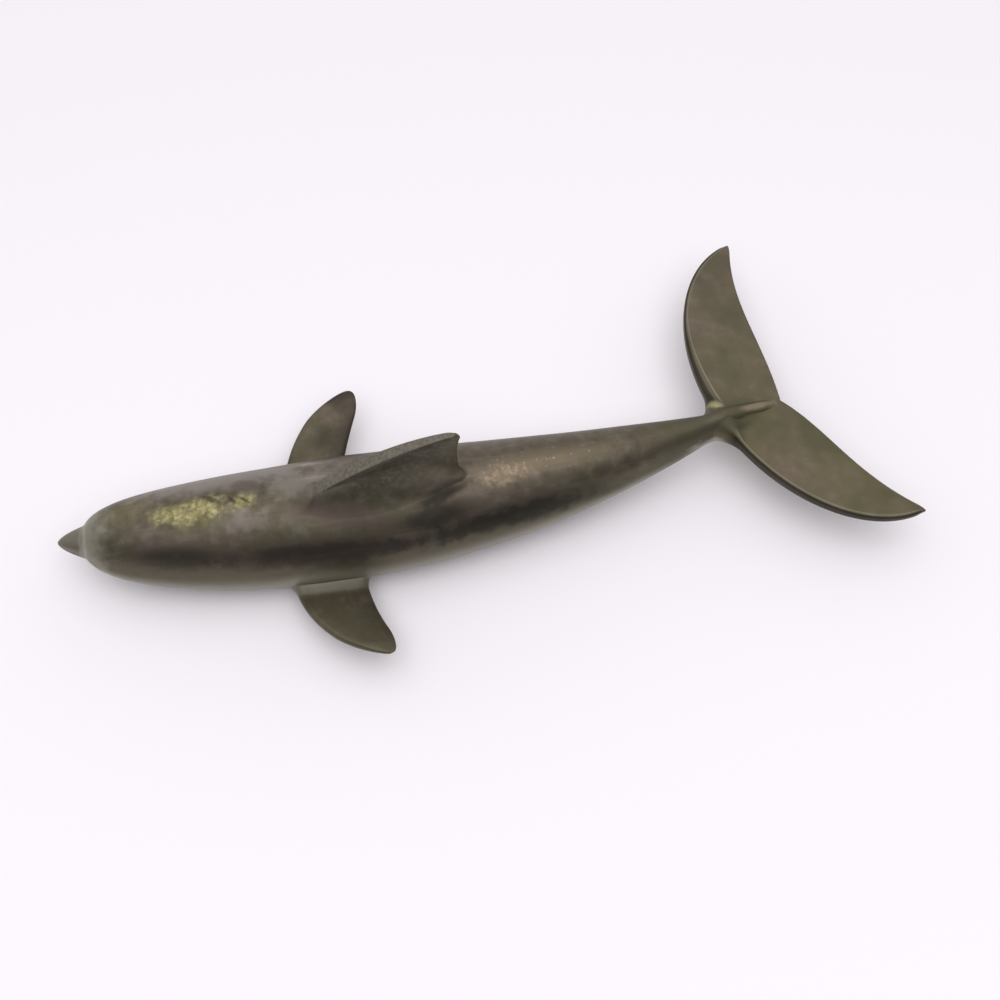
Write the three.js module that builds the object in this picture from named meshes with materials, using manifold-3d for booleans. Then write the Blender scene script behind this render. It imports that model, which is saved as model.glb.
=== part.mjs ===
// Brass dolphin figurine, bowed to its right in a level swim.
// The body is a hollow casting in a left and a right half, brazed along the midline of back and belly.
// Beak, fins and flukes are cast apart and held in the halves by a spigot, tenons and a tang.
// Millimetres. +X forward, +Y to the dolphin's left, +Z up, origin in the middle of the belly's rest.
import * as THREE from 'three';
import { mergeVertices } from 'three/addons/utils/BufferGeometryUtils.js';
import Module from 'manifold-3d';

const wasm = await Module();
wasm.setup();

// Spine: one arc in plan, measured along itself from above the rest
const BEND_RADIUS = 375;
const AXIS_HEIGHT = 9.2;
const NOSE_AHEAD = 43.8;
const STOCK_BEHIND = 67.8;
const NOSE_RISE = 0.8;
const NOSE_RISE_AHEAD = 20;
const TAIL_RISE = 2.8;
const TAIL_RISE_BEHIND = 22;

// Body sections
const BODY_HALF_WIDTH = 10.6;
const BODY_HALF_DEPTH = 10.6;
const HEAD_LENGTH = 45;
const NOSE_BLUNTNESS = 2.8;
const STOCK_HALF_WIDTH = 2.2;
const STOCK_HALF_DEPTH = 3.4;
const TAIL_LENGTH = 63.5;
const TAIL_FULLNESS = 1.7;
const WALL = 2;
const HEAD_SOLID = 12;
const STOCK_SOLID = 24;

// Joints between the castings
const JOINT_GAP = 0.3;
const BRAZE_WIDTH = 2;
const BRAZE_DEPTH = 1;
const BRAZE_FROM_NOSE = 6;
const BRAZE_FROM_STOCK_END = 12;
const BRAZE_FROM_FIN = 2;
const TENON_THICKNESS = 1.6;
const TENON_PAST_WALL = 1;
const TENON_IN_FIN = 2;

// Beak
const BEAK_REACH = 4.25;
const BEAK_DROP = 0.3;
const BEAK_HALF_WIDTH = 2.75;
const BEAK_HALF_DEPTH = 2.4;
const BEAK_TAPER = 0.6;
const BEAK_ROOT = 3;
const SPIGOT_DIAMETER = 3.2;
const SPIGOT_LENGTH = 7;
const SPIGOT_IN_BEAK = 2.2;

// Dorsal fin
const DORSAL_BEHIND = 21.1;
const DORSAL_BASE = 28.2;
const DORSAL_HEIGHT = 22.4;
const DORSAL_THICKNESS = 2.6;
const DORSAL_FILLET = 3;
const DORSAL_ROOT = 1.5;
const DORSAL_TIP_CHORD = 1.6;
const DORSAL_TIP_DROP = 1.6;
const DORSAL_FRONT_BOW = 0.5;
const DORSAL_REAR_HOLLOW = 1.6;
const DORSAL_TENON_FROM = 4;
const DORSAL_TENON_LENGTH = 12;

// Pectoral fins
const PECTORAL_AHEAD = 9.7;
const PECTORAL_CHORD = 12.2;
const PECTORAL_SPAN = 17;
const PECTORAL_SWEEP = 8.6;
const PECTORAL_TIP_CHORD = 6.2;
const PECTORAL_THICKNESS = 2.4;
const PECTORAL_FILLET = 2.4;
const PECTORAL_ROOT = 3;
const PECTORAL_BELOW_DEG = 25;
const PECTORAL_LIFT_DEG = 16;
const PECTORAL_TENON_LENGTH = 6;

// Right pectoral fin, finished shorter than the left and cut in behind its root
const RIGHT_PECTORAL_SPAN = 16.4;
const RIGHT_PECTORAL_SWEEP = 7.6;
const RIGHT_PECTORAL_CUT = 3;

// Tail flukes
const FLUKE_HALF_SPAN = 31.9;
const FLUKE_TIP_BEHIND = 21.6;
const FLUKE_TIP_CHORD = 1;
const FLUKE_NOTCH_BEHIND = 11.8;
const FLUKE_FRONT_SQUARE = 18;
const FLUKE_FRONT_SWEEP = 10.3;
const FLUKE_REAR_BULGE = 4.2;
const FLUKE_REAR_BULGE_OUT = 10.7;
const FLUKE_REAR_HOLLOW = 3;
const FLUKE_REAR_HOLLOW_OUT = 20.9;
const FLUKE_YAW_DEG = 8.1;
const FLUKE_ASIDE = 0.65;
const FLUKE_THICKNESS = 2.6;
const FLUKE_LAP = 0.5;
const RIDGE_ASKEW_DEG = 5.5;
const RIDGE_END_HALF_WIDTH = 0.7;
const TANG_LENGTH = 8;
const TANG_HEIGHT = 3.2;
const TANG_IN_FLUKES = 2.2;

// Sections of every blade, as shares of its thickness at the root and at the leading edge
const BLADE_TIP_SHARE = 0.5;
const BLADE_REAR_SHARE = 0.5;
const FILLET_SHARE = 0.33;

// Eyes, raised on the halves
const EYE_FROM_NOSE = 17;
const EYE_BELOW_DEG = 47;
const EYE_RADIUS = 1.3;
const EYE_STANDS_OUT = 0.4;

// Facets
const BODY_RINGS = 40;
const BODY_AROUND = 28;
const RING_CROWDING = 1.7;
const RIBBON_STEPS = 16;
const BLADE_RINGS = 12;
const BLADE_AROUND = 16;
const BEAK_RINGS = 8;
const BEAK_AROUND = 16;
const TIP_ROUNDING = 0.7;
const TIP_LEFT = 0.06;
const FLUKE_TIP_LEFT = 0.015;
const WELD = 1e-4;

const BODY_LENGTH = NOSE_AHEAD + STOCK_BEHIND;
const UP = new THREE.Vector3(0, 0, 1);
const REACH = BODY_LENGTH;

const brass = new THREE.MeshStandardMaterial({ color: 0x5d5142, roughness: 0.42, metalness: 1 });
const finBrass = new THREE.MeshStandardMaterial({ color: 0x5a5142, roughness: 0.48, metalness: 1 });
const filler = new THREE.MeshStandardMaterial({ color: 0x8a7f4e, roughness: 0.5, metalness: 1 });

// Spine and body shape
function forwardAt(along) {
  const turn = along / BEND_RADIUS;
  return new THREE.Vector3(Math.cos(turn), -Math.sin(turn), 0);
}

function leftAt(along) {
  const turn = along / BEND_RADIUS;
  return new THREE.Vector3(Math.sin(turn), Math.cos(turn), 0);
}

function spinePoint(along) {
  const turn = along / BEND_RADIUS;
  const behind = Math.max(0, -TAIL_RISE_BEHIND - along);
  const ahead = Math.max(0, along - NOSE_RISE_AHEAD);
  const tailRise = TAIL_RISE * (behind / (STOCK_BEHIND - TAIL_RISE_BEHIND)) ** 2;
  const noseRise = NOSE_RISE * (ahead / (NOSE_AHEAD - NOSE_RISE_AHEAD)) ** 2;
  const x = BEND_RADIUS * Math.sin(turn);
  const y = BEND_RADIUS * (Math.cos(turn) - 1);
  return new THREE.Vector3(x, y, AXIS_HEIGHT + tailRise + noseRise);
}

function besideSpine(along, left, up) {
  return spinePoint(along).addScaledVector(leftAt(along), left).addScaledVector(UP, up);
}

function swell(fromNose, stock, widest) {
  if (fromNose < HEAD_LENGTH) {
    const short = 1 - fromNose / HEAD_LENGTH;
    return widest * (1 - short ** 2) ** (1 / NOSE_BLUNTNESS);
  }
  const tail = Math.min(1, (fromNose - HEAD_LENGTH) / TAIL_LENGTH);
  return stock + (widest - stock) * (1 - tail ** TAIL_FULLNESS);
}

function halfWidth(fromNose) {
  return swell(fromNose, STOCK_HALF_WIDTH, BODY_HALF_WIDTH);
}

function halfDepth(fromNose) {
  return swell(fromNose, STOCK_HALF_DEPTH, BODY_HALF_DEPTH);
}

// Meshes
function loft(rings) {
  const count = rings[0].length;
  const points = rings.flat();
  const faces = [];
  for (let i = 0; i + 1 < rings.length; i += 1) {
    for (let j = 0; j < count; j += 1) {
      const a = i * count + j;
      const b = i * count + ((j + 1) % count);
      faces.push(a, b, a + count, b, b + count, a + count);
    }
  }
  const last = (rings.length - 1) * count;
  const caps = [
    [0, points.length, 1],
    [last, points.length + 1, -1],
  ];
  for (const [start, hub, turn] of caps) {
    const ring = points.slice(start, start + count);
    const middle = ring.reduce((sum, p) => sum.add(p), new THREE.Vector3()).divideScalar(count);
    points.push(middle);
    for (let j = 0; j < count; j += 1) {
      const here = start + j;
      const next = start + ((j + 1) % count);
      faces.push(hub, turn > 0 ? next : here, turn > 0 ? here : next);
    }
  }
  const geometry = new THREE.BufferGeometry().setFromPoints(points);
  geometry.setIndex(faces);
  return geometry;
}

function signedVolume(position, index) {
  const corner = [new THREE.Vector3(), new THREE.Vector3(), new THREE.Vector3()];
  let volume = 0;
  for (let i = 0; i < index.length; i += 3) {
    corner.forEach((v, k) => v.fromArray(position, 3 * index[i + k]));
    volume += corner[0].dot(corner[1].cross(corner[2])) / 6;
  }
  return volume;
}

// A closed solid with its faces turned outwards, whichever way round the mesh was made
function solid(geometry) {
  const bare = geometry.clone();
  bare.deleteAttribute('normal');
  bare.deleteAttribute('uv');
  const welded = mergeVertices(bare, WELD);
  const vertProperties = new Float32Array(welded.attributes.position.array);
  const triVerts = new Uint32Array(welded.index.array);
  if (signedVolume(vertProperties, triVerts) < 0) {
    triVerts.reverse();
  }
  return new wasm.Manifold(new wasm.Mesh({ numProp: 3, vertProperties, triVerts }));
}

function meshOf(name, shape, material) {
  const { vertProperties, triVerts } = shape.getMesh();
  const geometry = new THREE.BufferGeometry();
  geometry.setAttribute('position', new THREE.BufferAttribute(vertProperties, 3));
  geometry.setIndex(new THREE.BufferAttribute(triVerts, 1));
  geometry.computeVertexNormals();
  const mesh = new THREE.Mesh(geometry, material);
  mesh.name = name;
  return mesh;
}

// A band of rectangular section that follows the spine, its sides measured from the spine
function ribbon(from, to, right, left, low, high) {
  const rings = [];
  for (let i = 0; i <= RIBBON_STEPS; i += 1) {
    const along = THREE.MathUtils.lerp(from, to, i / RIBBON_STEPS);
    const corners = [
      [left, low],
      [left, high],
      [right, high],
      [right, low],
    ];
    rings.push(corners.map(([across, up]) => besideSpine(along, across, up)));
  }
  return solid(loft(rings));
}

// The body's outside moved in by an inset, and flat underneath at that height
function bodyShape(inset) {
  const rings = [];
  for (let i = 1; i <= BODY_RINGS; i += 1) {
    const fromNose = BODY_LENGTH * (i / BODY_RINGS) ** RING_CROWDING;
    const lean = Math.atan((halfWidth(fromNose + WELD) - halfWidth(fromNose)) / WELD);
    const wide = halfWidth(fromNose) - inset * Math.cos(lean);
    const deep = halfDepth(fromNose) - inset * Math.cos(lean);
    const endInset = i === BODY_RINGS ? -inset : inset * Math.sin(lean);
    if (wide <= 0) {
      continue;
    }
    const ring = [];
    for (let j = 0; j < BODY_AROUND; j += 1) {
      const angle = (2 * Math.PI * j) / BODY_AROUND;
      const along = NOSE_AHEAD - fromNose - endInset;
      ring.push(besideSpine(along, wide * Math.cos(angle), deep * Math.sin(angle)));
    }
    rings.push(ring);
  }
  const above = new THREE.BoxGeometry(4 * REACH, 4 * REACH, REACH).translate(0, 0, inset + REACH / 2);
  return solid(loft(rings)).intersect(solid(above));
}

// A blade's thickness from root to tip, with a fillet that dies out near the root
function bladeThickness(root, fillet) {
  return (share) => {
    const flare = Math.max(0, 1 - share / FILLET_SHARE) ** 2;
    return root * THREE.MathUtils.lerp(1, BLADE_TIP_SHARE, share) + fillet * flare;
  };
}

// A blade of lens section from root to tip, between two edges given as forward and out
function blade(leading, trailing, thickness, place) {
  const rings = [];
  for (let i = 0; i <= BLADE_RINGS; i += 1) {
    const share = i / BLADE_RINGS;
    const front = leading(share);
    const back = trailing(share);
    const ring = [];
    for (let j = 0; j < BLADE_AROUND; j += 1) {
      const angle = (2 * Math.PI * j) / BLADE_AROUND;
      const chord = (1 - Math.cos(angle)) / 2;
      const bulge = Math.sign(Math.sin(angle)) * Math.sqrt(Math.abs(Math.sin(angle)));
      const spot = front.clone().lerp(back, chord);
      const half = (thickness(share) / 2) * THREE.MathUtils.lerp(1, BLADE_REAR_SHARE, chord);
      ring.push(place(spot.x, spot.y, half * bulge));
    }
    rings.push(ring);
  }
  return solid(loft(rings));
}

// A block between two corners of a piece's own frame
function block(low, high, place) {
  const size = new THREE.Vector3().subVectors(high, low);
  const middle = new THREE.Vector3().addVectors(low, high).multiplyScalar(0.5);
  const box = new THREE.BoxGeometry(size.x, size.y, size.z).translate(middle.x, middle.y, middle.z);
  const corners = box.attributes.position;
  const corner = new THREE.Vector3();
  for (let i = 0; i < corners.count; i += 1) {
    corner.fromBufferAttribute(corners, i);
    corner.copy(place(corner.x, corner.y, corner.z));
    corners.setXYZ(i, corner.x, corner.y, corner.z);
  }
  return solid(box);
}

// A tenon and the wider slot that takes it
function tenonAndSlot(low, high, place) {
  const room = new THREE.Vector3(JOINT_GAP, JOINT_GAP, JOINT_GAP);
  const slot = block(low.clone().sub(room), high.clone().add(room), place);
  return { tenon: block(low, high, place), slot };
}

const outside = bodyShape(0);
const clearOfBody = bodyShape(-JOINT_GAP);

// Beak: an ogive on a round spigot
function beakParts() {
  const nose = besideSpine(NOSE_AHEAD, 0, -BEAK_DROP);
  const rings = [];
  for (let i = 1; i <= BEAK_RINGS; i += 1) {
    const fromTip = (BEAK_REACH + BEAK_ROOT) * (i / BEAK_RINGS) ** RING_CROWDING;
    const swelling = (fromTip / BEAK_REACH) ** BEAK_TAPER;
    const ring = [];
    for (let j = 0; j < BEAK_AROUND; j += 1) {
      const angle = (2 * Math.PI * j) / BEAK_AROUND;
      const point = nose.clone().addScaledVector(forwardAt(NOSE_AHEAD), BEAK_REACH - fromTip);
      point.addScaledVector(leftAt(NOSE_AHEAD), BEAK_HALF_WIDTH * swelling * Math.cos(angle));
      ring.push(point.addScaledVector(UP, BEAK_HALF_DEPTH * swelling * Math.sin(angle)));
    }
    rings.push(ring);
  }
  const rod = (radius, length) => {
    const bar = new THREE.CylinderGeometry(radius, radius, length + SPIGOT_IN_BEAK, BEAK_AROUND);
    bar.rotateZ(Math.PI / 2).translate((SPIGOT_IN_BEAK - length) / 2, 0, 0);
    bar.rotateZ(-NOSE_AHEAD / BEND_RADIUS).translate(nose.x, nose.y, nose.z);
    return solid(bar);
  };
  const spigot = rod(SPIGOT_DIAMETER / 2, SPIGOT_LENGTH);
  const socket = rod(SPIGOT_DIAMETER / 2 + JOINT_GAP, SPIGOT_LENGTH + JOINT_GAP);
  return { casting: solid(loft(rings)).subtract(clearOfBody).add(spigot), socket };
}

// Dorsal fin: upright on the midline, its long front edge rising to a tip above the back edge
function dorsalParts() {
  const middle = DORSAL_BASE / 2 - DORSAL_BEHIND;
  const back = halfDepth(NOSE_AHEAD - middle);
  const place = (fore, up, side) => {
    const point = spinePoint(middle).addScaledVector(forwardAt(middle), fore - DORSAL_BASE / 2);
    return point.addScaledVector(leftAt(middle), side).addScaledVector(UP, up);
  };
  const front = new THREE.QuadraticBezierCurve(
    new THREE.Vector2(DORSAL_BASE, back - DORSAL_ROOT),
    new THREE.Vector2(DORSAL_BASE * DORSAL_FRONT_BOW, DORSAL_HEIGHT - DORSAL_TIP_DROP),
    new THREE.Vector2(DORSAL_TIP_CHORD, DORSAL_HEIGHT),
  );
  const rear = new THREE.QuadraticBezierCurve(
    new THREE.Vector2(0, back - DORSAL_ROOT),
    new THREE.Vector2(DORSAL_REAR_HOLLOW, (back + DORSAL_HEIGHT) / 2),
    new THREE.Vector2(0, DORSAL_HEIGHT - DORSAL_TIP_CHORD / 2),
  );
  const thickness = bladeThickness(DORSAL_THICKNESS, DORSAL_FILLET);
  const fin = blade((t) => front.getPoint(t), (t) => rear.getPoint(t), thickness, place);
  const { tenon, slot } = tenonAndSlot(
    new THREE.Vector3(DORSAL_TENON_FROM, back - WALL - TENON_PAST_WALL, -TENON_THICKNESS / 2),
    new THREE.Vector3(DORSAL_TENON_FROM + DORSAL_TENON_LENGTH, back + TENON_IN_FIN, TENON_THICKNESS / 2),
    place,
  );
  return { casting: fin.subtract(clearOfBody).add(tenon), slot };
}

// Pectoral fin: a paddle swept back from below the flank, tilted up to its rounded tip
function pectoralParts(side) {
  const below = THREE.MathUtils.degToRad(PECTORAL_BELOW_DEG);
  const lift = THREE.MathUtils.degToRad(PECTORAL_LIFT_DEG);
  const wide = side * halfWidth(NOSE_AHEAD) * Math.cos(below);
  const root = besideSpine(0, wide, -halfDepth(NOSE_AHEAD) * Math.sin(below));
  const outward = leftAt(0).multiplyScalar(side * Math.cos(lift)).addScaledVector(UP, Math.sin(lift));
  const across = leftAt(0).multiplyScalar(-side * Math.sin(lift)).addScaledVector(UP, Math.cos(lift));
  const place = (fore, out, up) => {
    const point = root.clone().addScaledVector(forwardAt(0), fore);
    return point.addScaledVector(outward, out).addScaledVector(across, up);
  };
  const span = side > 0 ? PECTORAL_SPAN : RIGHT_PECTORAL_SPAN;
  const sweep = side > 0 ? PECTORAL_SWEEP : RIGHT_PECTORAL_SWEEP;
  const cut = side > 0 ? 0 : RIGHT_PECTORAL_CUT;
  const rearRoot = PECTORAL_AHEAD - PECTORAL_CHORD;
  const tipRear = rearRoot - sweep + PECTORAL_TIP_CHORD / 2;
  const front = new THREE.QuadraticBezierCurve(
    new THREE.Vector2(PECTORAL_AHEAD, -PECTORAL_ROOT),
    new THREE.Vector2(PECTORAL_AHEAD, span / 2),
    new THREE.Vector2(tipRear + PECTORAL_TIP_CHORD, span),
  );
  const rear = new THREE.QuadraticBezierCurve(
    new THREE.Vector2(rearRoot + cut, -PECTORAL_ROOT),
    new THREE.Vector2(rearRoot, span / 2),
    new THREE.Vector2(tipRear, span),
  );
  const edge = (curve, other) => (share) => {
    const narrow = Math.sqrt(1 - Math.max(0, (share - TIP_ROUNDING) / (1 - TIP_ROUNDING)) ** 2);
    const centre = curve.getPoint(share).lerp(other.getPoint(share), 0.5);
    return centre.lerp(curve.getPoint(share), Math.max(narrow, TIP_LEFT));
  };
  const thickness = bladeThickness(PECTORAL_THICKNESS, PECTORAL_FILLET);
  const fin = blade(edge(front, rear), edge(rear, front), thickness, place);
  const deep = (WALL + TENON_PAST_WALL) / Math.cos(below + lift);
  const tenonFrom = PECTORAL_AHEAD - (PECTORAL_CHORD - cut + PECTORAL_TENON_LENGTH) / 2;
  const { tenon, slot } = tenonAndSlot(
    new THREE.Vector3(tenonFrom, -deep, -TENON_THICKNESS / 2),
    new THREE.Vector3(tenonFrom + PECTORAL_TENON_LENGTH, TENON_IN_FIN, TENON_THICKNESS / 2),
    place,
  );
  return { casting: fin.subtract(clearOfBody).add(tenon), slot };
}

// Flukes: two swept blades set askew on a ridge that runs on from the stock to the notch between them,
// held in the stock by a flat tang
function flukeParts() {
  const stockEnd = -STOCK_BEHIND;
  const yaw = THREE.MathUtils.degToRad(FLUKE_YAW_DEG);
  const backward = forwardAt(stockEnd).applyAxisAngle(UP, yaw).negate();
  const leftward = leftAt(stockEnd).applyAxisAngle(UP, yaw);
  const place = (aft, left, up) => {
    const point = spinePoint(stockEnd).addScaledVector(backward, aft);
    return point.addScaledVector(leftward, left).addScaledVector(UP, up);
  };
  const askew = THREE.MathUtils.degToRad(RIDGE_ASKEW_DEG);
  const notchAft = FLUKE_NOTCH_BEHIND * Math.cos(askew);
  const notchLeft = FLUKE_NOTCH_BEHIND * Math.sin(askew);
  const front = new THREE.CubicBezierCurve(
    new THREE.Vector2(0, 0),
    new THREE.Vector2(0, FLUKE_FRONT_SQUARE),
    new THREE.Vector2(FLUKE_FRONT_SWEEP, FLUKE_HALF_SPAN),
    new THREE.Vector2(FLUKE_TIP_BEHIND - FLUKE_TIP_CHORD / 2, FLUKE_HALF_SPAN),
  );
  const thickness = bladeThickness(FLUKE_THICKNESS, 0);
  const half = (side) => {
    const placed = (aft, out, up) => place(aft, side * (out - FLUKE_LAP) - FLUKE_ASIDE, up);
    const rear = new THREE.CubicBezierCurve(
      new THREE.Vector2(notchAft, side * (notchLeft + FLUKE_ASIDE)),
      new THREE.Vector2(FLUKE_NOTCH_BEHIND + FLUKE_REAR_BULGE, FLUKE_REAR_BULGE_OUT),
      new THREE.Vector2(FLUKE_NOTCH_BEHIND + FLUKE_REAR_HOLLOW, FLUKE_REAR_HOLLOW_OUT),
      new THREE.Vector2(FLUKE_TIP_BEHIND + FLUKE_TIP_CHORD / 2, FLUKE_HALF_SPAN),
    );
    const last = 1 - FLUKE_TIP_LEFT;
    const leading = (share) => front.getPoint(last * share);
    const trailing = (share) => rear.getPoint(last * share);
    return blade(leading, trailing, thickness, placed);
  };
  const ridgeRings = [0, 1].map((share) => {
    const wide = THREE.MathUtils.lerp(STOCK_HALF_WIDTH, RIDGE_END_HALF_WIDTH, share);
    const deep = THREE.MathUtils.lerp(STOCK_HALF_DEPTH, FLUKE_THICKNESS / 2, share);
    const ring = [];
    for (let j = 0; j < BEAK_AROUND; j += 1) {
      const angle = (2 * Math.PI * j) / BEAK_AROUND;
      const left = notchLeft * share + wide * Math.cos(angle);
      ring.push(place(notchAft * share, left, deep * Math.sin(angle)));
    }
    return ring;
  });
  const ridge = solid(loft(ridgeRings));
  const flat = TENON_THICKNESS / 2;
  const high = TANG_HEIGHT / 2;
  const tang = ribbon(stockEnd - TANG_IN_FLUKES, stockEnd + TANG_LENGTH, -flat, flat, -high, high);
  const slot = ribbon(
    stockEnd - TANG_IN_FLUKES,
    stockEnd + TANG_LENGTH + JOINT_GAP,
    -flat - JOINT_GAP,
    flat + JOINT_GAP,
    -high - JOINT_GAP,
    high + JOINT_GAP,
  );
  const casting = half(1).add(half(-1)).add(ridge).subtract(clearOfBody).add(tang);
  return { casting, slot };
}

const beak = beakParts();
const dorsal = dorsalParts();
const leftPectoral = pectoralParts(1);
const rightPectoral = pectoralParts(-1);
const flukes = flukeParts();

// Body halves: hollow between a solid head and a solid stock, grooved along the seam
const hollowFrom = STOCK_SOLID - STOCK_BEHIND;
const hollowTo = NOSE_AHEAD - HEAD_SOLID;
const hollow = bodyShape(WALL).intersect(ribbon(hollowFrom, hollowTo, -REACH, REACH, -REACH, REACH));
const seamFrom = BRAZE_FROM_STOCK_END - STOCK_BEHIND;
const seamTo = NOSE_AHEAD - BRAZE_FROM_NOSE;
const grooveSide = BRAZE_WIDTH / 2;
const seam = ribbon(seamFrom, seamTo, -grooveSide, grooveSide, -REACH, REACH);
const groove = seam.subtract(bodyShape(BRAZE_DEPTH));
const slots = [beak.socket, dorsal.slot, leftPectoral.slot, rightPectoral.slot, flukes.slot];
const openings = [hollow, groove, ...slots];

function bodyHalf(side) {
  const near = side * (JOINT_GAP / 2);
  const far = side * REACH;
  const room = ribbon(-REACH, REACH, Math.min(near, far), Math.max(near, far), -REACH, REACH);
  const eyeAlong = NOSE_AHEAD - EYE_FROM_NOSE;
  const eyeBelow = THREE.MathUtils.degToRad(EYE_BELOW_DEG);
  const sunk = EYE_RADIUS - EYE_STANDS_OUT;
  const eyeAt = besideSpine(
    eyeAlong,
    side * (halfWidth(EYE_FROM_NOSE) - sunk) * Math.cos(eyeBelow),
    -(halfDepth(EYE_FROM_NOSE) - sunk) * Math.sin(eyeBelow),
  );
  const eye = new THREE.SphereGeometry(EYE_RADIUS, BEAK_AROUND, BEAK_RINGS).translate(...eyeAt);
  return openings.reduce((half, cut) => half.subtract(cut), outside.intersect(room).add(solid(eye)));
}

// Braze: strips that fill the groove and end flush with the halves
function brazeStrip(from, to, low, high) {
  const side = grooveSide - JOINT_GAP;
  return ribbon(from, to, -side, side, low, high)
    .intersect(outside)
    .subtract(bodyShape(BRAZE_DEPTH - JOINT_GAP));
}

const dorsalFront = DORSAL_BASE - DORSAL_BEHIND;
const headSeam = brazeStrip(dorsalFront + BRAZE_FROM_FIN, seamTo - JOINT_GAP, 0, REACH);
const stockSeam = brazeStrip(seamFrom + JOINT_GAP, -DORSAL_BEHIND - BRAZE_FROM_FIN, 0, REACH);
const bellySeam = brazeStrip(seamFrom + JOINT_GAP, seamTo - JOINT_GAP, -REACH, 0);

const dolphin = new THREE.Group();
dolphin.add(
  meshOf('left_body_half', bodyHalf(1), brass),
  meshOf('right_body_half', bodyHalf(-1), brass),
  meshOf('beak', beak.casting, finBrass),
  meshOf('dorsal_fin', dorsal.casting, finBrass),
  meshOf('left_pectoral_fin', leftPectoral.casting, finBrass),
  meshOf('right_pectoral_fin', rightPectoral.casting, finBrass),
  meshOf('tail_flukes', flukes.casting, finBrass),
  meshOf('head_seam_braze', headSeam, filler),
  meshOf('stock_seam_braze', stockSeam, filler),
  meshOf('belly_seam_braze', bellySeam, filler),
);

export default dolphin;
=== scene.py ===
import math
from typing import NamedTuple

import bmesh
import bpy
import numpy as np
from bpy.props import FloatProperty, FloatVectorProperty, PointerProperty
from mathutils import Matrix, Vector


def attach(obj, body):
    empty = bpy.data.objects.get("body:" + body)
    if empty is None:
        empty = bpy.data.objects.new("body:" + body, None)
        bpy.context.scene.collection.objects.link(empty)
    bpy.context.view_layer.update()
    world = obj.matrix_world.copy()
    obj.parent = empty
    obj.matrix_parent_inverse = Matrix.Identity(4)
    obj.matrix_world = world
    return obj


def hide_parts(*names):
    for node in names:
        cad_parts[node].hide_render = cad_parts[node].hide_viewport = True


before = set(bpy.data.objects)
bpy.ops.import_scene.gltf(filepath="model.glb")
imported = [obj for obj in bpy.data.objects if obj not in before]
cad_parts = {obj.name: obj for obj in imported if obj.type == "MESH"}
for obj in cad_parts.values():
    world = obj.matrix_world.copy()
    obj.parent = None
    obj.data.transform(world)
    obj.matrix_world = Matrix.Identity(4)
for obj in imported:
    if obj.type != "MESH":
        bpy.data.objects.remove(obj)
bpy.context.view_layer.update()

bl_info = {
    "name": "Brass dolphin figurine",
    "version": (1, 0, 0),
    "blender": (4, 5, 0),
    "location": "View3D > Sidebar > Dolphin",
    "description": "Models a patinated brass dolphin in its cast and brazed pieces, with its stage",
    "category": "Add Mesh",
}

# Metres throughout: +X forward, +Y to the dolphin's left, +Z up, from the middle of the belly's rest
MM = 0.001
BODY = "root"
UP = np.array((0.0, 0.0, 1.0))


def length(description, millimetres):
    """A size for the panel, written in millimetres and kept in metres."""
    size = millimetres * MM
    return FloatProperty(description=description, default=size, unit="LENGTH", precision=5)


def lengths(description, *millimetres):
    """A row of sizes for the panel, written in millimetres and kept in metres."""
    sizes = [size * MM for size in millimetres]
    return FloatVectorProperty(
        description=description, default=sizes, size=len(sizes), unit="LENGTH", precision=5
    )


def angle(description, degrees):
    """An angle for the panel, written in degrees and kept in radians."""
    return FloatProperty(description=description, default=math.radians(degrees), subtype="ANGLE")


def share(description, value):
    """A plain number for the panel."""
    return FloatProperty(description=description, default=value, precision=3)


def linear(code):
    """A colour written as sRGB hex, as linear red, green and blue."""
    values = [int(code[i : i + 2], 16) / 255 for i in (1, 3, 5)]
    return tuple(v / 12.92 if v <= 0.04045 else ((v + 0.055) / 1.055) ** 2.4 for v in values)


def colour(description, code):
    """A colour for the panel, written as sRGB hex."""
    return FloatVectorProperty(
        description=description, default=linear(code), subtype="COLOR", min=0, max=1
    )


def named(group):
    """Gives every property of a group its name for the panel, in the words of its identifier."""
    for identifier, value in group.__annotations__.items():
        value.keywords["name"] = identifier.replace("_", " ").capitalize()
    return group


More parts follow.
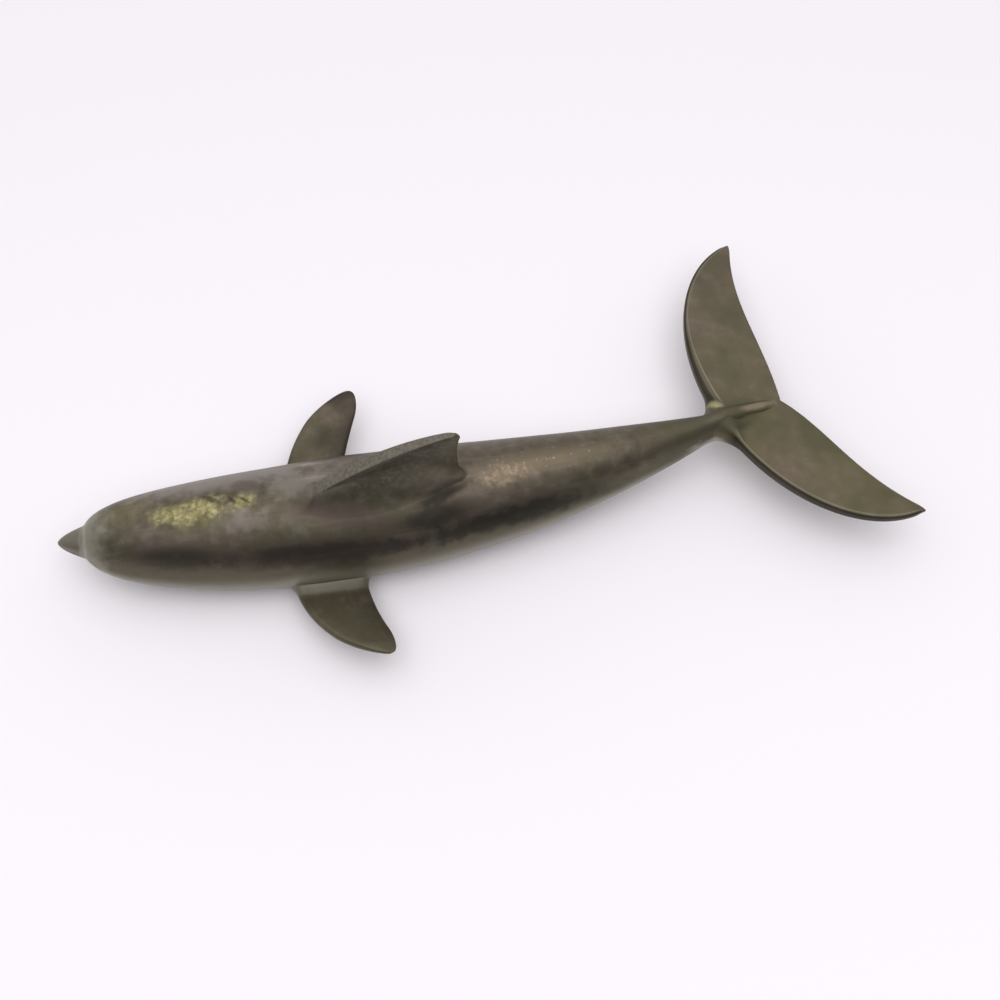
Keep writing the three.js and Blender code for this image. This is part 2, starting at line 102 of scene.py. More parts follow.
@named
class DolphinBody(bpy.types.PropertyGroup):
    """Sizes of the spine, the two body halves and their seams"""

    bend_radius: length("Radius of the spine's arc in plan", 375)
    axis_height: length("Height of the spine above the rest", 9.2)
    nose_ahead: length("Spine from the rest's middle to the nose", 43.8)
    stock_behind: length("Spine from the rest's middle to the stock's end", 67.8)
    nose_rise: length("How far the nose lifts", 0.8)
    nose_rise_ahead: length("Where the spine starts to lift to the nose", 20)
    tail_rise: length("How far the stock's end lifts", 2.8)
    tail_rise_behind: length("Where the spine starts to lift to the tail", 22)
    half_width: length("Half the body's greatest width", 10.6)
    half_depth: length("Half the body's greatest depth", 10.6)
    head_length: length("From the nose to the widest section", 45)
    nose_bluntness: share("Power of the head's swelling", 2.8)
    stock_half_width: length("Half the stock's width", 2.2)
    stock_half_depth: length("Half the stock's depth", 3.4)
    tail_length: length("From the widest section to the plain stock", 63.5)
    tail_fullness: share("Power of the tail's taper", 1.7)
    wall: length("Thickness of the hollow halves", 2)
    head_solid: length("Length of solid metal at the nose", 12)
    stock_solid: length("Length of solid metal at the stock", 24)
    rest_edge: length("Rounding where the belly's flat begins", 0.3)
    waviness: length("Height of the slow waves that hand finishing leaves", 0.03)
    scoop_depth: length("Depth of the hollow beside the dorsal fin", 0.4)
    scoop_from: length("Where the hollow starts to fall, behind the rest's middle", 11)
    scoop_to: length("Where the hollow is deepest and ends, behind the rest's middle", 21.2)
    scoop_step: length("Length of the rise that ends the hollow", 1.6)
    scoop_out: length("Round the skin from the midline to the hollow's deep end", 1.9)
    scoop_lean: share("How far the hollow leans out for each length ahead of that end", 0.3)
    scoop_half: length("Half the hollow's width round the skin", 1.7)
    eye_from_nose: length("Spine from the nose to the eyes", 17)
    eye_below: angle("Angle of the eyes below the level of the spine", 47)
    eye_radius: length("Radius of each raised eye", 1.3)
    eye_height: length("How far each eye stands out", 0.4)
    seam_width: length("Width of the brazed strips", 1.4)
    seam_depth: length("Depth of the brazed strips", 0.7)
    seam_proud: length("How far the dressed strips stand above the skin", 0.006)
    seam_from_nose: length("Where the strips stop behind the nose", 6.3)
    seam_from_stock: length("Where the strips stop ahead of the stock's end", 12.3)
    seam_from_fin: length("Gap between the strips and the dorsal fin's ends", 2)


@named
class DolphinBeak(bpy.types.PropertyGroup):
    """Sizes of the beak"""

    reach: length("From the nose to the beak's tip", 4.25)
    drop: length("How far the beak lies below the spine", 0.3)
    half_width: length("Half the beak's width at the nose", 2.75)
    half_depth: length("Half the beak's depth at the nose", 2.4)
    taper: share("Power of the beak's swelling from its tip", 0.6)
    root: length("How far the beak runs back inside the head", 3)
    fillet: length("Width of the brazed fillet at the joint", 0.55)
    mouth_depth: length("Depth of the line between the jaws", 0.14)


@named
class DolphinDorsal(bpy.types.PropertyGroup):
    """Sizes of the dorsal fin"""

    behind: length("Spine from the rest's middle back to the fin's rear", 21.1)
    base: length("Length of the fin along the back", 28.2)
    height: length("Height of the tip above the spine", 22.4)
    root: length("How far the fin's edges start below the back", 1.5)
    tip_chord: length("Length of the tip", 1.6)
    rounding: share("Share of the edges after which the tip rounds", 0.95)
    tip_drop: length("How far the front edge's curve stays below the tip", 1.6)
    front_bow: share("Where along the base the front edge bows", 0.5)
    rear_hollow: length("How far the rear edge curves in", 1.6)
    band: lengths("Half the filed front's width: at the back, its swell and at the tip", 1, 1.35, 0.45)
    waist: share("Thickness of the hollowed faces as a share of the front", 0.55)
    rear_half: length("Half the thickness of the rear edge", 0.45)
    foot: lengths("Width of the flared foot: front, swell, heel and rear", 3, 8.6, 4.6, 1.2)
    climb: lengths("How far the foot climbs the fin: front, swell, heel and rear", 5, 11, 7, 2.6)
    foot_ease: share("How far the foot follows the back", 0.6)
    rear_ease: share("How far the foot follows the back beside the rear edge", 0.4)
    face_ease: share("How far the foot follows the faces", 0.6)


@named
class DolphinPectorals(bpy.types.PropertyGroup):
    """Sizes of the two pectoral fins"""

    ahead: length("Front of the root ahead of the rest's middle", 9.7)
    chord: length("Length of the root", 12.2)
    span: length("From the root to the tip", 17)
    sweep: length("How far the tip lies behind the root", 8.6)
    tip_chord: length("Length of the fin near its tip", 6.2)
    thickness: length("Thickness at the root", 2.4)
    tip_thickness: length("Thickness at the tip", 1.2)
    root: length("How far the fin starts inside the flank", 3)
    below: angle("Angle of the root below the level of the spine", 25)
    lift: angle("Tilt of the fin up to its tip", 16)
    rounding: share("Share of the span after which the tip rounds", 0.7)
    bevel: length("Width of the rounded edges", 0.9)
    fillet: length("Width of the shoulder at the root on the flank", 0.9)
    shoulder: length("Width of the shoulder at the root on the fin", 2.5)
    foot_ease: share("How far the shoulder follows the flank", 0.3)
    face_ease: share("How far the shoulder follows the fin", 0.25)
    right_span: length("From the root to the tip of the right fin", 16.4)
    right_sweep: length("How far the right fin's tip lies behind the root", 7.6)
    right_cut: length("How far the right fin is cut in behind its root", 3)


@named
class DolphinFlukes(bpy.types.PropertyGroup):
    """Sizes of the tail flukes"""

    half_span: length("From the middle to each tip", 31.9)
    tip_behind: length("Stock's end to the tips", 21.6)
    tip_chord: length("Width of the blunt tips", 1)
    notch_behind: length("Stock's end to the notch", 11.8)
    front_square: length("How far the front edge stays square to the stock", 18)
    front_sweep: length("How far the front edge bends back at the tip", 10.3)
    rear_bulge: length("How far the rear edge bulges behind the notch", 4.2)
    rear_bulge_out: length("Where the rear edge bulges", 10.7)
    rear_hollow: length("How far the rear edge lies behind the notch further out", 3)
    rear_hollow_out: length("Where the rear edge hollows", 20.9)
    yaw: angle("Turn of the flukes against the stock", 8.1)
    aside: length("How far the flukes are set to the right of the stock", 0.65)
    lap: length("How far each fluke reaches across the middle at its front", 0.3)
    askew: angle("Turn of the ridge against the flukes", 5.5)
    ridge_run: length("Length of spine over which the stock turns to the ridge", 7.6)
    ridge_half: length("Half the ridge's width at the notch", 1.1)
    ridge_fall: share("Power of the ridge's fall to the notch", 1.25)
    ridge_deep: length("Half the ridge's depth at the notch", 0.3)
    thickness: length("Thickness at the root", 2.6)
    tip_thickness: length("Thickness at the tips", 1.3)
    rounding: share("Share of the span after which the tips round", 0.95)
    bevel: length("Width of the sloping front edge", 0.6)
    right_bevel: length("Width of the right fluke's front slope at its root", 1.8)
    dish: length("How far the faces hollow behind their front rim", 0.1)
    ridge_short: length("How far the sunk end of the ridge stops before the notch", 0.4)
    fillet: length("Width of the fillet on the ridge", 1.2)
    fillet_front: length("Width of the fillet on the stock at the front edge", 3)
    climb: length("Width of the fillet on the blade beside the ridge", 2.4)
    climb_front: length("Width of the fillet on the blade at the front edge", 4.5)
    climb_rear: length("Width of the fillet on the blade at the notch", 0.3)
    foot_ease: share("How far the fillet follows the ridge", 0.6)
    face_ease: share("How far the fillet follows the blade", 0.35)


@named
class DolphinFinish(bpy.types.PropertyGroup):
    """Colours of the metal and its patina, some of which also paint light and shade"""

    brown: colour("Main brown of the patina", "#6c6256")
    olive: colour("Olive cast of the patina", "#635e4c")
    violet: colour("Violet cast of handled brown patina", "#695a55")
    # Soot also paints shade in the creases at the fins' roots, the shaded front faces of the flukes and
    # the dark reflection bands low on the flanks.
    soot: colour("Near-black patina in hollows and pits", "#20211c")
    # Plum also paints the dark reflection band low on the near flank.
    plum: colour("Dark patina with a violet cast low on the flanks", "#362d2b")
    # Ash is mostly painted light: the floor's reflection low on the flanks and under the stock, and pale
    # highlights at the roots, rims and joints.
    ash: colour("Thin grey tarnish on the underside", "#b1aea1")
    bare: colour("Bare brass where the patina is rubbed off", "#a0976a")
    cream: colour("Palest scuffed brass", "#d3c89a")
    rose: colour("Scuffed ridge where copper shows in the brass", "#bfa892")
    tan: colour("Half-worn brass on ridges and edges", "#8f7f69")
    sage: colour("Filed metal with a thin olive tarnish", "#7d776b")
    lilac: colour("Scuffed metal with a grey bloom", "#9a928b")
    moss: colour("Green tarnish at the edge of worn metal", "#615f37")
    filler: colour("Brazing filler under its tarnish", "#716654")


@named
class DolphinStage(bpy.types.PropertyGroup):
    """Sizes and levels of the floor, the lamps and the camera"""

    floor_half: length("Half the floor's width", 1500)
    paper: colour("Colour of the floor", "#fbf8fc")
    softbox: lengths("Overhead lamp: width, place to the dolphin's left and height", 700, 50, 620)
    softbox_level: share("Radiance of the overhead lamp", 0.71)
    fillbox: lengths("Lamp that fills the shadow: width, place to the left and height", 500, 220, 600)
    fillbox_level: share("Radiance of the fill lamp", 1.3)
    room_light: share("Radiance of the room behind the dolphin", 0.75)
    room_dark: share("Radiance of the room on the camera's side", 0.1)
    room_lean: angle("Height at which the room is lightest", 40)
    camera: lengths("Camera's place: along the dolphin, to its left and up", -7.17, 120.37, 237)
    target: lengths("Middle of the picture: along the dolphin, to its left and up", -27.22, 0.92, 9.2)
    lens: share("Focal length in millimetres on a 36 mm sensor", 54)


@named
class DolphinSettings(bpy.types.PropertyGroup):
    """Everything that the panel shows"""

    body: PointerProperty(type=DolphinBody)
    beak: PointerProperty(type=DolphinBeak)
    dorsal: PointerProperty(type=DolphinDorsal)
    pectorals: PointerProperty(type=DolphinPectorals)
    flukes: PointerProperty(type=DolphinFlukes)
    finish: PointerProperty(type=DolphinFinish)
    stage: PointerProperty(type=DolphinStage)


# Shape of the body


def smooth(x):
    """0 below 0, 1 above 1 and an even ease between."""
    x = np.clip(x, 0.0, 1.0)
    return x * x * (3 - 2 * x)


def mix(a, b, amount):
    return a + (b - a) * amount


def unit(vectors):
    return vectors / np.linalg.norm(vectors, axis=-1, keepdims=True)


class Skin:
    """The outside of body, stock and fluke ridge: a round section carried along the spine."""

    # Points of the spine's table, how far it runs past the ends, and the step that measures slopes
    STEPS = 4000
    SPARE = 2 * MM
    PROBE = 0.01 * MM
    # Rounds that bring a point to its place on the spine and on the skin
    LOCATE_ROUNDS = 5
    SETTLE_ROUNDS = 6
    # Waves of hand finishing: a length along the spine, turns round it and a start
    WAVES = ((2.9 * MM, 2, 0), (4.3 * MM, -3, 1))

    def __init__(self, settings):
        body, flukes = settings.body, settings.flukes
        self.body, self.flukes = body, flukes
        self.stock_end = -body.stock_behind
        self.notch = self.stock_end - flukes.notch_behind
        self.table = np.linspace(self.notch - self.SPARE, body.nose_ahead + self.SPARE, self.STEPS)
        turned = smooth(0.5 + (self.stock_end - self.table) / flukes.ridge_run)
        arc = np.maximum(self.table, self.stock_end) / body.bend_radius
        self.heading = (flukes.yaw - flukes.askew) * turned - arc
        ahead = np.stack((np.cos(self.heading), np.sin(self.heading)), 1)
        step = self.table[1] - self.table[0]
        run = np.vstack(((0, 0), np.cumsum((ahead[1:] + ahead[:-1]) / 2 * step, 0)))
        self.plan = run - [np.interp(0, self.table, run[:, k]) for k in (0, 1)]

    def rise(self, along):
        """Height of the spine, which lifts to the nose and to the tail."""
        body = self.body
        tail = np.clip(-body.tail_rise_behind - along, 0, body.stock_behind - body.tail_rise_behind)
        nose = np.maximum(0, along - body.nose_rise_ahead)
        tail = body.tail_rise * (tail / (body.stock_behind - body.tail_rise_behind)) ** 2
        nose = body.nose_rise * (nose / (body.nose_ahead - body.nose_rise_ahead)) ** 2
        return body.axis_height + tail + nose

    def swell(self, along, stock, widest, ridge):
        """Half a size of the section: round at the nose, widest behind the head, slim at the stock."""
        body = self.body
        from_nose = np.clip(body.nose_ahead - along, 0, None)
        short = np.clip(1 - from_nose / body.head_length, 0, 1)
        head = widest * (1 - short**2) ** (1 / body.nose_bluntness)
        tail = np.clip((from_nose - body.head_length) / body.tail_length, 0, 1)
        tail = stock + (widest - stock) * (1 - tail**body.tail_fullness)
        past = np.clip((self.stock_end - along) / self.flukes.notch_behind, 0, 1)
        return np.where(from_nose < body.head_length, head, mix(tail, ridge, past))

    def half_width(self, along):
        body = self.body
        return self.swell(along, body.stock_half_width, body.half_width, self.flukes.ridge_half)

    def half_depth(self, along):
        body = self.body
        flukes = self.flukes
        deep = self.swell(along, body.stock_half_depth, body.half_depth, body.stock_half_depth)
        past = np.clip((self.stock_end - along) / flukes.notch_behind, 0, 1) ** flukes.ridge_fall
        return deep - (body.stock_half_depth - flukes.ridge_deep) * past

    def relief(self, along, turn):
        """How far the finished skin lies inside the plain section: the scoops and the slow waves."""
        body = self.body
        wide = self.half_width(along)
        out = np.abs(turn) * wide
        fall = smooth((-body.scoop_from - along) / (body.scoop_to - body.scoop_from))
        stop = smooth(0.5 + (along + body.scoop_to) / body.scoop_step)
        middle = body.scoop_out + body.scoop_lean * np.maximum(along + body.scoop_to, 0)
        across = np.clip(1 - ((out - middle) / body.scoop_half) ** 2, 0, 1) ** 2
        waves = sum(np.sin(along / run + turns * turn + start) for run, turns, start in self.WAVES)
        return body.scoop_depth * fall * stop * across + body.waviness * waves * wide / body.half_width

    def frames(self, along):
        """Points of the spine with the directions ahead and to the left."""
        heading = np.interp(along, self.table, self.heading)
        zero = np.zeros_like(heading)
        point = np.stack(
            [np.interp(along, self.table, self.plan[:, k]) for k in (0, 1)] + [self.rise(along)], -1
        )
        ahead = np.stack((np.cos(heading), np.sin(heading), zero), -1)
        left = np.stack((-np.sin(heading), np.cos(heading), zero), -1)
        return point, ahead, left

    def beside(self, along, left, up):
        """Points beside the spine, by their distance along it, to the left and up."""
        along, left, up = np.broadcast_arrays(*np.atleast_1d(along, left, up))
        point, _, leftward = self.frames(along)
        return point + leftward * left[..., None] + UP * up[..., None]

    def surface(self, along, turn, inset=0.0):
        """Points on the skin, by spine and by the turn from the back's midline to the left."""
        along, turn = np.broadcast_arrays(*np.atleast_1d(along, turn))
        inward = self.relief(along, turn) + inset
        wide = np.maximum(self.half_width(along) - inward, 0)
        deep = np.maximum(self.half_depth(along) - inward, 0)
        return self.beside(along, wide * np.sin(turn), deep * np.cos(turn))

    def locate(self, points):
        """Distance along the spine, to the left and up, of any points."""
        flat = points.reshape(-1, 3)
        along = np.interp(flat[:, 0], self.plan[:, 0], self.table)
        for _ in range(self.LOCATE_ROUNDS):
            middle, ahead, _ = self.frames(along)
            along = along + ((flat - middle) * ahead)[:, :2].sum(1)
        middle, _, left = self.frames(along)
        side = ((flat - middle) * left)[:, :2].sum(1)
        shape = points.shape[:-1]
        return along.reshape(shape), side.reshape(shape), (flat[:, 2] - middle[:, 2]).reshape(shape)

    def seat(self, points):
        """Where points lie: along the spine, turned from the back to the left, and out of the skin."""
        along, left, up = self.locate(points)
        wide, deep = self.half_width(along), self.half_depth(along)
        up = up * np.where(deep > self.PROBE, wide / np.maximum(deep, self.PROBE), 1)
        turn = np.arctan2(left, up)
        return along, turn, np.hypot(left, up) - wide + self.relief(along, turn)

    def height(self, points):
        """How far points stand out of the skin, measured square to the spine."""
        return self.seat(points)[2]

    def place(self, points):
        """Where points lie on the skin, in millimetres along it, round it and above it."""
        along, turn, height = self.seat(points)
        return np.stack((along, turn * self.half_width(along), height), -1) / MM

    def slope(self, points):
        """Gradient of height."""
        steps = np.eye(3) * self.PROBE
        return np.stack(
            [(self.height(points + s) - self.height(points - s)) / (2 * self.PROBE) for s in steps], -1
        )

    def settle(self, points, sunk):
        """The nearest points of the skin, sunk a little into it."""
        for _ in range(self.SETTLE_ROUNDS):
            slope = self.slope(points)
            steep = (slope**2).sum(-1)
            points = points - slope * (self.height(points) / steep)[..., None]
        return points - unit(self.slope(points)) * sunk


# Meshes


def loft_faces(rings, around, start):
    """Faces of a closed tube of rings, with a face over each end."""
    faces = []
    for i in range(rings - 1):
        for j in range(around):
            a = start + i * around + j
            b = start + i * around + (j + 1) % around
            faces.append((a, b, b + around, a + around))
    first = range(start, start + around)
    faces.append(tuple(reversed(first)))
    faces.append(tuple(n + (rings - 1) * around for n in first))
    return faces


# Faces that meet at more than this angle keep a crisp edge
SHARP = math.radians(38)


def piece(name, shells, material):
    """One object of the figurine from closed shells, which takes the place of the node of its name.

    A shell is points by ring, with two things that the finish reads there. Place is where they lie on the
    skin. Edge is a fin's wear with its painted edge shade and rim highlight, the share of its span and
    the share of its chord, or on the body how far they are turned to the belly, which places the painted
    floor reflection."""
    points, spots, edges, faces = [], [], [], []
    for rings, spot, edge in shells:
        faces += loft_faces(rings.shape[0], rings.shape[1], sum(map(len, points)))
        points.append(rings.reshape(-1, 3))
        spots.append(spot.reshape(-1, 3))
        edges.append(edge.reshape(-1, 3))
    mesh = bpy.data.meshes.new(name)
    mesh.from_pydata(np.concatenate(points).tolist(), [], faces)
    for label, values in (("place", spots), ("edge", edges)):
        attribute = mesh.attributes.new(label, "FLOAT_VECTOR", "POINT")
        attribute.data.foreach_set("vector", np.concatenate(values).astype(np.float32).ravel())
    outward(mesh)
    mesh.shade_smooth()
    mesh.set_sharp_from_angle(angle=SHARP)
    mesh.materials.append(material)
    mesh.validate()
    made = bpy.data.objects.new(name + "_brass", mesh)
    bpy.context.scene.collection.objects.link(made)
    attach(made, BODY)
    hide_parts(name)


def outward(mesh):
    """Turns the faces of each closed shell outwards."""
    work = bmesh.new()
    work.from_mesh(mesh)
    bmesh.ops.recalc_face_normals(work, faces=work.faces)
    work.to_mesh(mesh)
    work.free()


def cut_corners(loop, rounds):
    """A closed outline, by ring, with its corners cut to a smooth curve."""
    share_cut = 0.25
    for _ in range(rounds):
        after = np.roll(loop, -1, axis=-2)
        cut = np.stack((mix(loop, after, share_cut), mix(after, loop, share_cut)), axis=-2)
        loop = cut.reshape(*loop.shape[:-2], -1, loop.shape[-1])
    return loop


def bezier(points, t):
    """A Bezier curve of three or four points at every t."""
    points = [np.asarray(p, float) for p in points]
    t = np.asarray(t)[..., None]
    while len(points) > 1:
        points = [mix(a, b, t) for a, b in zip(points, points[1:])]
    return points[0]


def bezier_values(values, t):
    """A Bezier curve of plain numbers at every t."""
    return bezier([[value] for value in values], t)[:, 0]


def run_along(curve):
    """Length of a curve from its start to each of its points."""
    return np.concatenate(((0,), np.cumsum(np.linalg.norm(np.diff(curve[:, :3], axis=0), axis=1))))


def resample(curve, stations):
    """Points of a curve at shares of its length."""
    run = run_along(curve)
    return np.stack([np.interp(stations * run[-1], run, curve[:, k]) for k in range(curve.shape[1])], 1)


# Rings of a fillet and of the blade above it, and how far a plain fillet follows what it joins
FILLET_STEPS = 14
BLADE_STEPS = 72
EASE = 2 / 3
# Power by which a blade's rings crowd to its foot
FOOT_CROWDING = 0.9
# How deep the foot of a fillet is sunk, which hides its edge
SUNK = 0.02 * MM


def grow(skin, columns, fillet, climb, foot_ease=EASE, top_ease=EASE):
    """A blade that grows out of the skin with a fillet round its foot.

    Columns run from inside the skin to the tip, by column and step, with points and places.
    Fillet gives the width of the fillet on the skin, and climb its height on the blade, by column.
    The eases say how far the fillet follows the skin and the blade to where they would meet. A column
    that starts in the open, past the end of what it grows from, has no fillet."""
    height = skin.height(columns[..., :3])
    out = np.maximum(np.argmax(height > 0, axis=1), 1)
    rows = np.arange(len(columns))
    low, high = height[rows, out - 1], height[rows, out]
    part = np.clip(-low / (high - low), 0, 1)[:, None]
    corner = mix(columns[rows, out - 1], columns[rows, out], part)
    normal = skin.slope(corner[:, :3])
    tangent = np.roll(corner[:, :3], -1, axis=0) - np.roll(corner[:, :3], 1, axis=0)
    outwards = unit(np.cross(tangent, normal))
    away = corner[:, :3] - corner[:, :3].mean(0)
    if (outwards * away).sum() < 0:
        outwards = -outwards
    foot = skin.settle(corner[:, :3] + outwards * fillet[:, None], SUNK)
    foot = np.where((low > 0)[:, None], corner[:, :3], foot)
    level = unit(skin.slope(foot))
    leave = corner[:, :3] - foot
    leave -= level * (leave * level).sum(1, keepdims=True)
    leave = foot + leave * np.broadcast_to(foot_ease, len(columns))[:, None]
    ease = np.linspace(0, 1, FILLET_STEPS, endpoint=False)
    stations = np.linspace(0, 1, BLADE_STEPS) ** FOOT_CROWDING
    grown = []
    for j, column in enumerate(columns):
        blade = np.vstack((corner[j], column[out[j] :]))
        run = run_along(blade)
        top = [np.interp(climb[j], run, blade[:, k]) for k in range(blade.shape[1])]
        rest = np.vstack((top, blade[run > climb[j]]))
        base, bend = (np.concatenate((point[j], corner[j, 3:])) for point in (foot, leave))
        curve = bezier((base, bend, mix(rest[0], corner[j], top_ease), rest[0]), ease)
        grown.append(np.vstack((curve, resample(rest, stations))))
    rings = np.swapaxes(np.array(grown), 0, 1)
    return rings[..., :3], skin.place(rings[..., :3]), rings[..., 3:]


# Finishes


def add(tree, kind, links=None, out=0, **settings):
    """Adds a node with its settings and gives the output asked for.

    Links holds a socket to join or a value to set for each input, by its name or number."""
    node = tree.nodes.new(kind)
    for name, value in settings.items():
        setattr(node, name, value)
    for name, value in (links or {}).items():
        if isinstance(value, bpy.types.NodeSocket):
            tree.links.new(value, node.inputs[name])
        else:
            node.inputs[name].default_value = value
    return node.outputs[out] if len(node.outputs) else node


def per_metre(millimetres):
    """Scale of a pattern whose features are that many millimetres apart."""
    return 1 / (millimetres * MM)


def rgba(values):
    return (*values, 1.0)


# Patterns of the patina: the size of each in millimetres and how finely it breaks up.
# Casting sand leaves a grain of about 0.2 mm, which is drawn at 0.5 mm so that it shows.
PATTERNS = {"cloud": (24, 3), "cast": (9, 2), "spot": (2.2, 4), "fleck": (0.8, 3), "grain": (0.5, 2)}

# Strokes of the buff run along the body and along each fin: their length and width, on the body in
# millimetres and on a fin as shares of its span and chord
BODY_STROKES = ("place", (9, 0.7, 9))
FIN_STROKES = ("edge", (1, 0.4, 0.12))

# Roughness of satin patina, and the depth of the grain in millimetres by how the casting was worked
SATIN = 0.47
GRAIN_BUFFED = 0.004
GRAIN_CAST = 0.006
GRAIN_FILED = 0.012

# Marks of wear and of painted light and shade run this many millimetres up the foot of a fin
MARK_RISES = 2.5


class Mark(NamedTuple):
    """An oval on the skin: its middle in millimetres ahead of the rest's and round the skin to the left,
    its half sizes in millimetres, its turn in degrees, and how soft and ragged its edge is."""

    along: float
    around: float
    half_length: float
    half_width: float
    turn: float = 0
    soft: float = 0.9
    ragged: float = 0.8


class Layer(NamedTuple):
    """A tint on a mark, with its roughness and its strength where the mark or a pattern is high."""

    tint: str
    roughness: float
    most: float
    by: str = None
    low: float = 0
    high: float = 1


class Finish:
    """Cast brass that has browned in the hand, as colour and roughness that wear can be laid over.

    Brown patina is satin and never even: it clouds to olive and violet and is black in fine pits.
    It is a film of oxide, so a part of the light is scattered by it and the rest is the metal's."""

    METAL = 0.86
    # Each layer's tint, its roughness over the gloss, its pattern from low to high, and its strength
    PATINA = (
        ("olive", 0, "cloud", 0.38, 0.6, 0.85),
        ("violet", 0.03, "cast", 0.5, 0.74, 0.4),
        ("lilac", 0.06, "spot", 0.52, 0.3, 0.22),
        ("soot", 0.08, "spot", 0.5, 0.8, 0.32),
        ("lilac", 0.05, "stroke", 0.52, 0.76, 0.16),
        ("soot", 0.1, "fleck", 0.66, 0.8, 0.35),
    )

    def __init__(self, name, gloss, strokes):
        self.tints = bpy.context.scene.dolphin.finish
        self.material = bpy.data.materials.new(name)
        self.material.use_nodes = True
        self.tree = self.material.node_tree
        self.tree.nodes.clear()
        self.read = {}
        for label in ("place", "edge"):
            self.read[label] = add(self.tree, "ShaderNodeAttribute", out="Vector", attribute_name=label)
        self.above = add(self.tree, "ShaderNodeSeparateXYZ", {0: self.read["place"]}, out="Z")
        # The edge's first value: a fin's wear with its painted edge shade and rim highlight, or on the
        # body the turn that places the painted floor reflection
        self.worn = add(self.tree, "ShaderNodeSeparateXYZ", {0: self.read["edge"]}, out="X")
        self.chord = add(self.tree, "ShaderNodeSeparateXYZ", {0: self.read["edge"]}, out="Z")
        where = add(self.tree, "ShaderNodeTexCoord", out="Object")
        self.pattern = {}
        for pattern, (millimetres, detail) in PATTERNS.items():
            links = {"Vector": where, "Scale": per_metre(millimetres), "Detail": detail}
            self.pattern[pattern] = add(self.tree, "ShaderNodeTexNoise", links)
        label, size = strokes
        links = {"Vector": self.read[label], "Scale": size}
        stroke = add(self.tree, "ShaderNodeMapping", links, vector_type="TEXTURE")
        self.pattern["stroke"] = add(self.tree, "ShaderNodeTexNoise", {"Vector": stroke, "Scale": 1.0})
        self.colour = rgba(self.tints.brown)
        self.roughness = gloss
        for tint, rougher, *spread in self.PATINA:
            self.lay(tint, gloss + rougher, *spread)

    def lay(self, tint, roughness, by, low, high, most=1.0, within=None):
        """Lays a colour and its roughness where a pattern, or a value, passes from low to high."""
        value = self.pattern[by] if isinstance(by, str) else by
        links = {0: value, 1: low, 2: high, 4: most}
        amount = add(self.tree, "ShaderNodeMapRange", links, interpolation_type="SMOOTHSTEP")
        if within is not None:
            amount = add(self.tree, "ShaderNodeMath", {0: amount, 1: within}, operation="MULTIPLY")
        links = {0: amount, 6: self.colour, 7: rgba(getattr(self.tints, tint))}
        self.colour = add(self.tree, "ShaderNodeMix", links, out=2, data_type="RGBA")
        self.roughness = add(self.tree, "ShaderNodeMix", {0: amount, 2: self.roughness, 3: roughness})

    def clear(self, low, high):
        """How far a point of a fin is clear of the skin, from low to high in millimetres, as a share."""
        links = {0: self.above, 1: low, 2: high}
        return add(self.tree, "ShaderNodeMapRange", links, interpolation_type="SMOOTHSTEP")

    def patch(self, mark):
        """A ragged oval on the skin as a share."""
        links = {
            "Vector": self.read["place"],
            "Location": (mark.along, mark.around, 0),
            "Rotation": (0, 0, math.radians(mark.turn)),
            "Scale": (mark.half_length, mark.half_width, MARK_RISES),
        }
        inside = add(self.tree, "ShaderNodeMapping", links, vector_type="TEXTURE")
        far = add(self.tree, "ShaderNodeVectorMath", {0: inside}, out="Value", operation="LENGTH")
        links = {0: self.pattern["spot"], 1: mark.ragged, 2: far}
        far = add(self.tree, "ShaderNodeMath", links, operation="MULTIPLY_ADD")
        edge = 1 + mark.ragged / 2
        links = {0: far, 1: edge, 2: edge - mark.soft}
        return add(self.tree, "ShaderNodeMapRange", links, interpolation_type="SMOOTHSTEP")

    def wear(self, marks):
        """Lays each mark with its layers, in order."""
        for mark, *layers in marks.values():
            patch = self.patch(mark)
            for tint, roughness, most, by, low, high in layers:
                if by:
                    self.lay(tint, roughness, by, low, high, most, patch)
                else:
                    self.lay(tint, roughness, patch, low, high, most)

    def made(self, grain):
        """The finished metal, with the grain's depth in millimetres."""
        links = {"Height": self.pattern["grain"], "Distance": grain * MM, "Strength": 1.0}
        links = {
            "Base Color": self.colour,
            "Roughness": self.roughness,
            "Metallic": self.METAL,
            "Normal": add(self.tree, "ShaderNodeBump", links),
        }
        shader = add(self.tree, "ShaderNodeBsdfPrincipled", links)
        add(self.tree, "ShaderNodeOutputMaterial", {"Surface": shader})
        return self.material


# Hands have rubbed the head and the ridge behind the fin down to the metal, in flecks
RUBBED = (
    Layer("bare", 0.5, 0.9, "spot", 0.24, 0.52),
    Layer("cream", 0.54, 0.65, "fleck", 0.42, 0.7),
    Layer("moss", 0.5, 0.6, "spot", 0.5, 0.68),
)
SCRATCHED = Layer("plum", 0.5, 0.7)
# Pale grey under the stock and at the flukes' front root: painted reflection of the floor
STOCK_FLOOR_REFLECTION = (Mark(-65.8, 5, 7, 2.5, soft=0.75), Layer("ash", 0.5, 0.9))
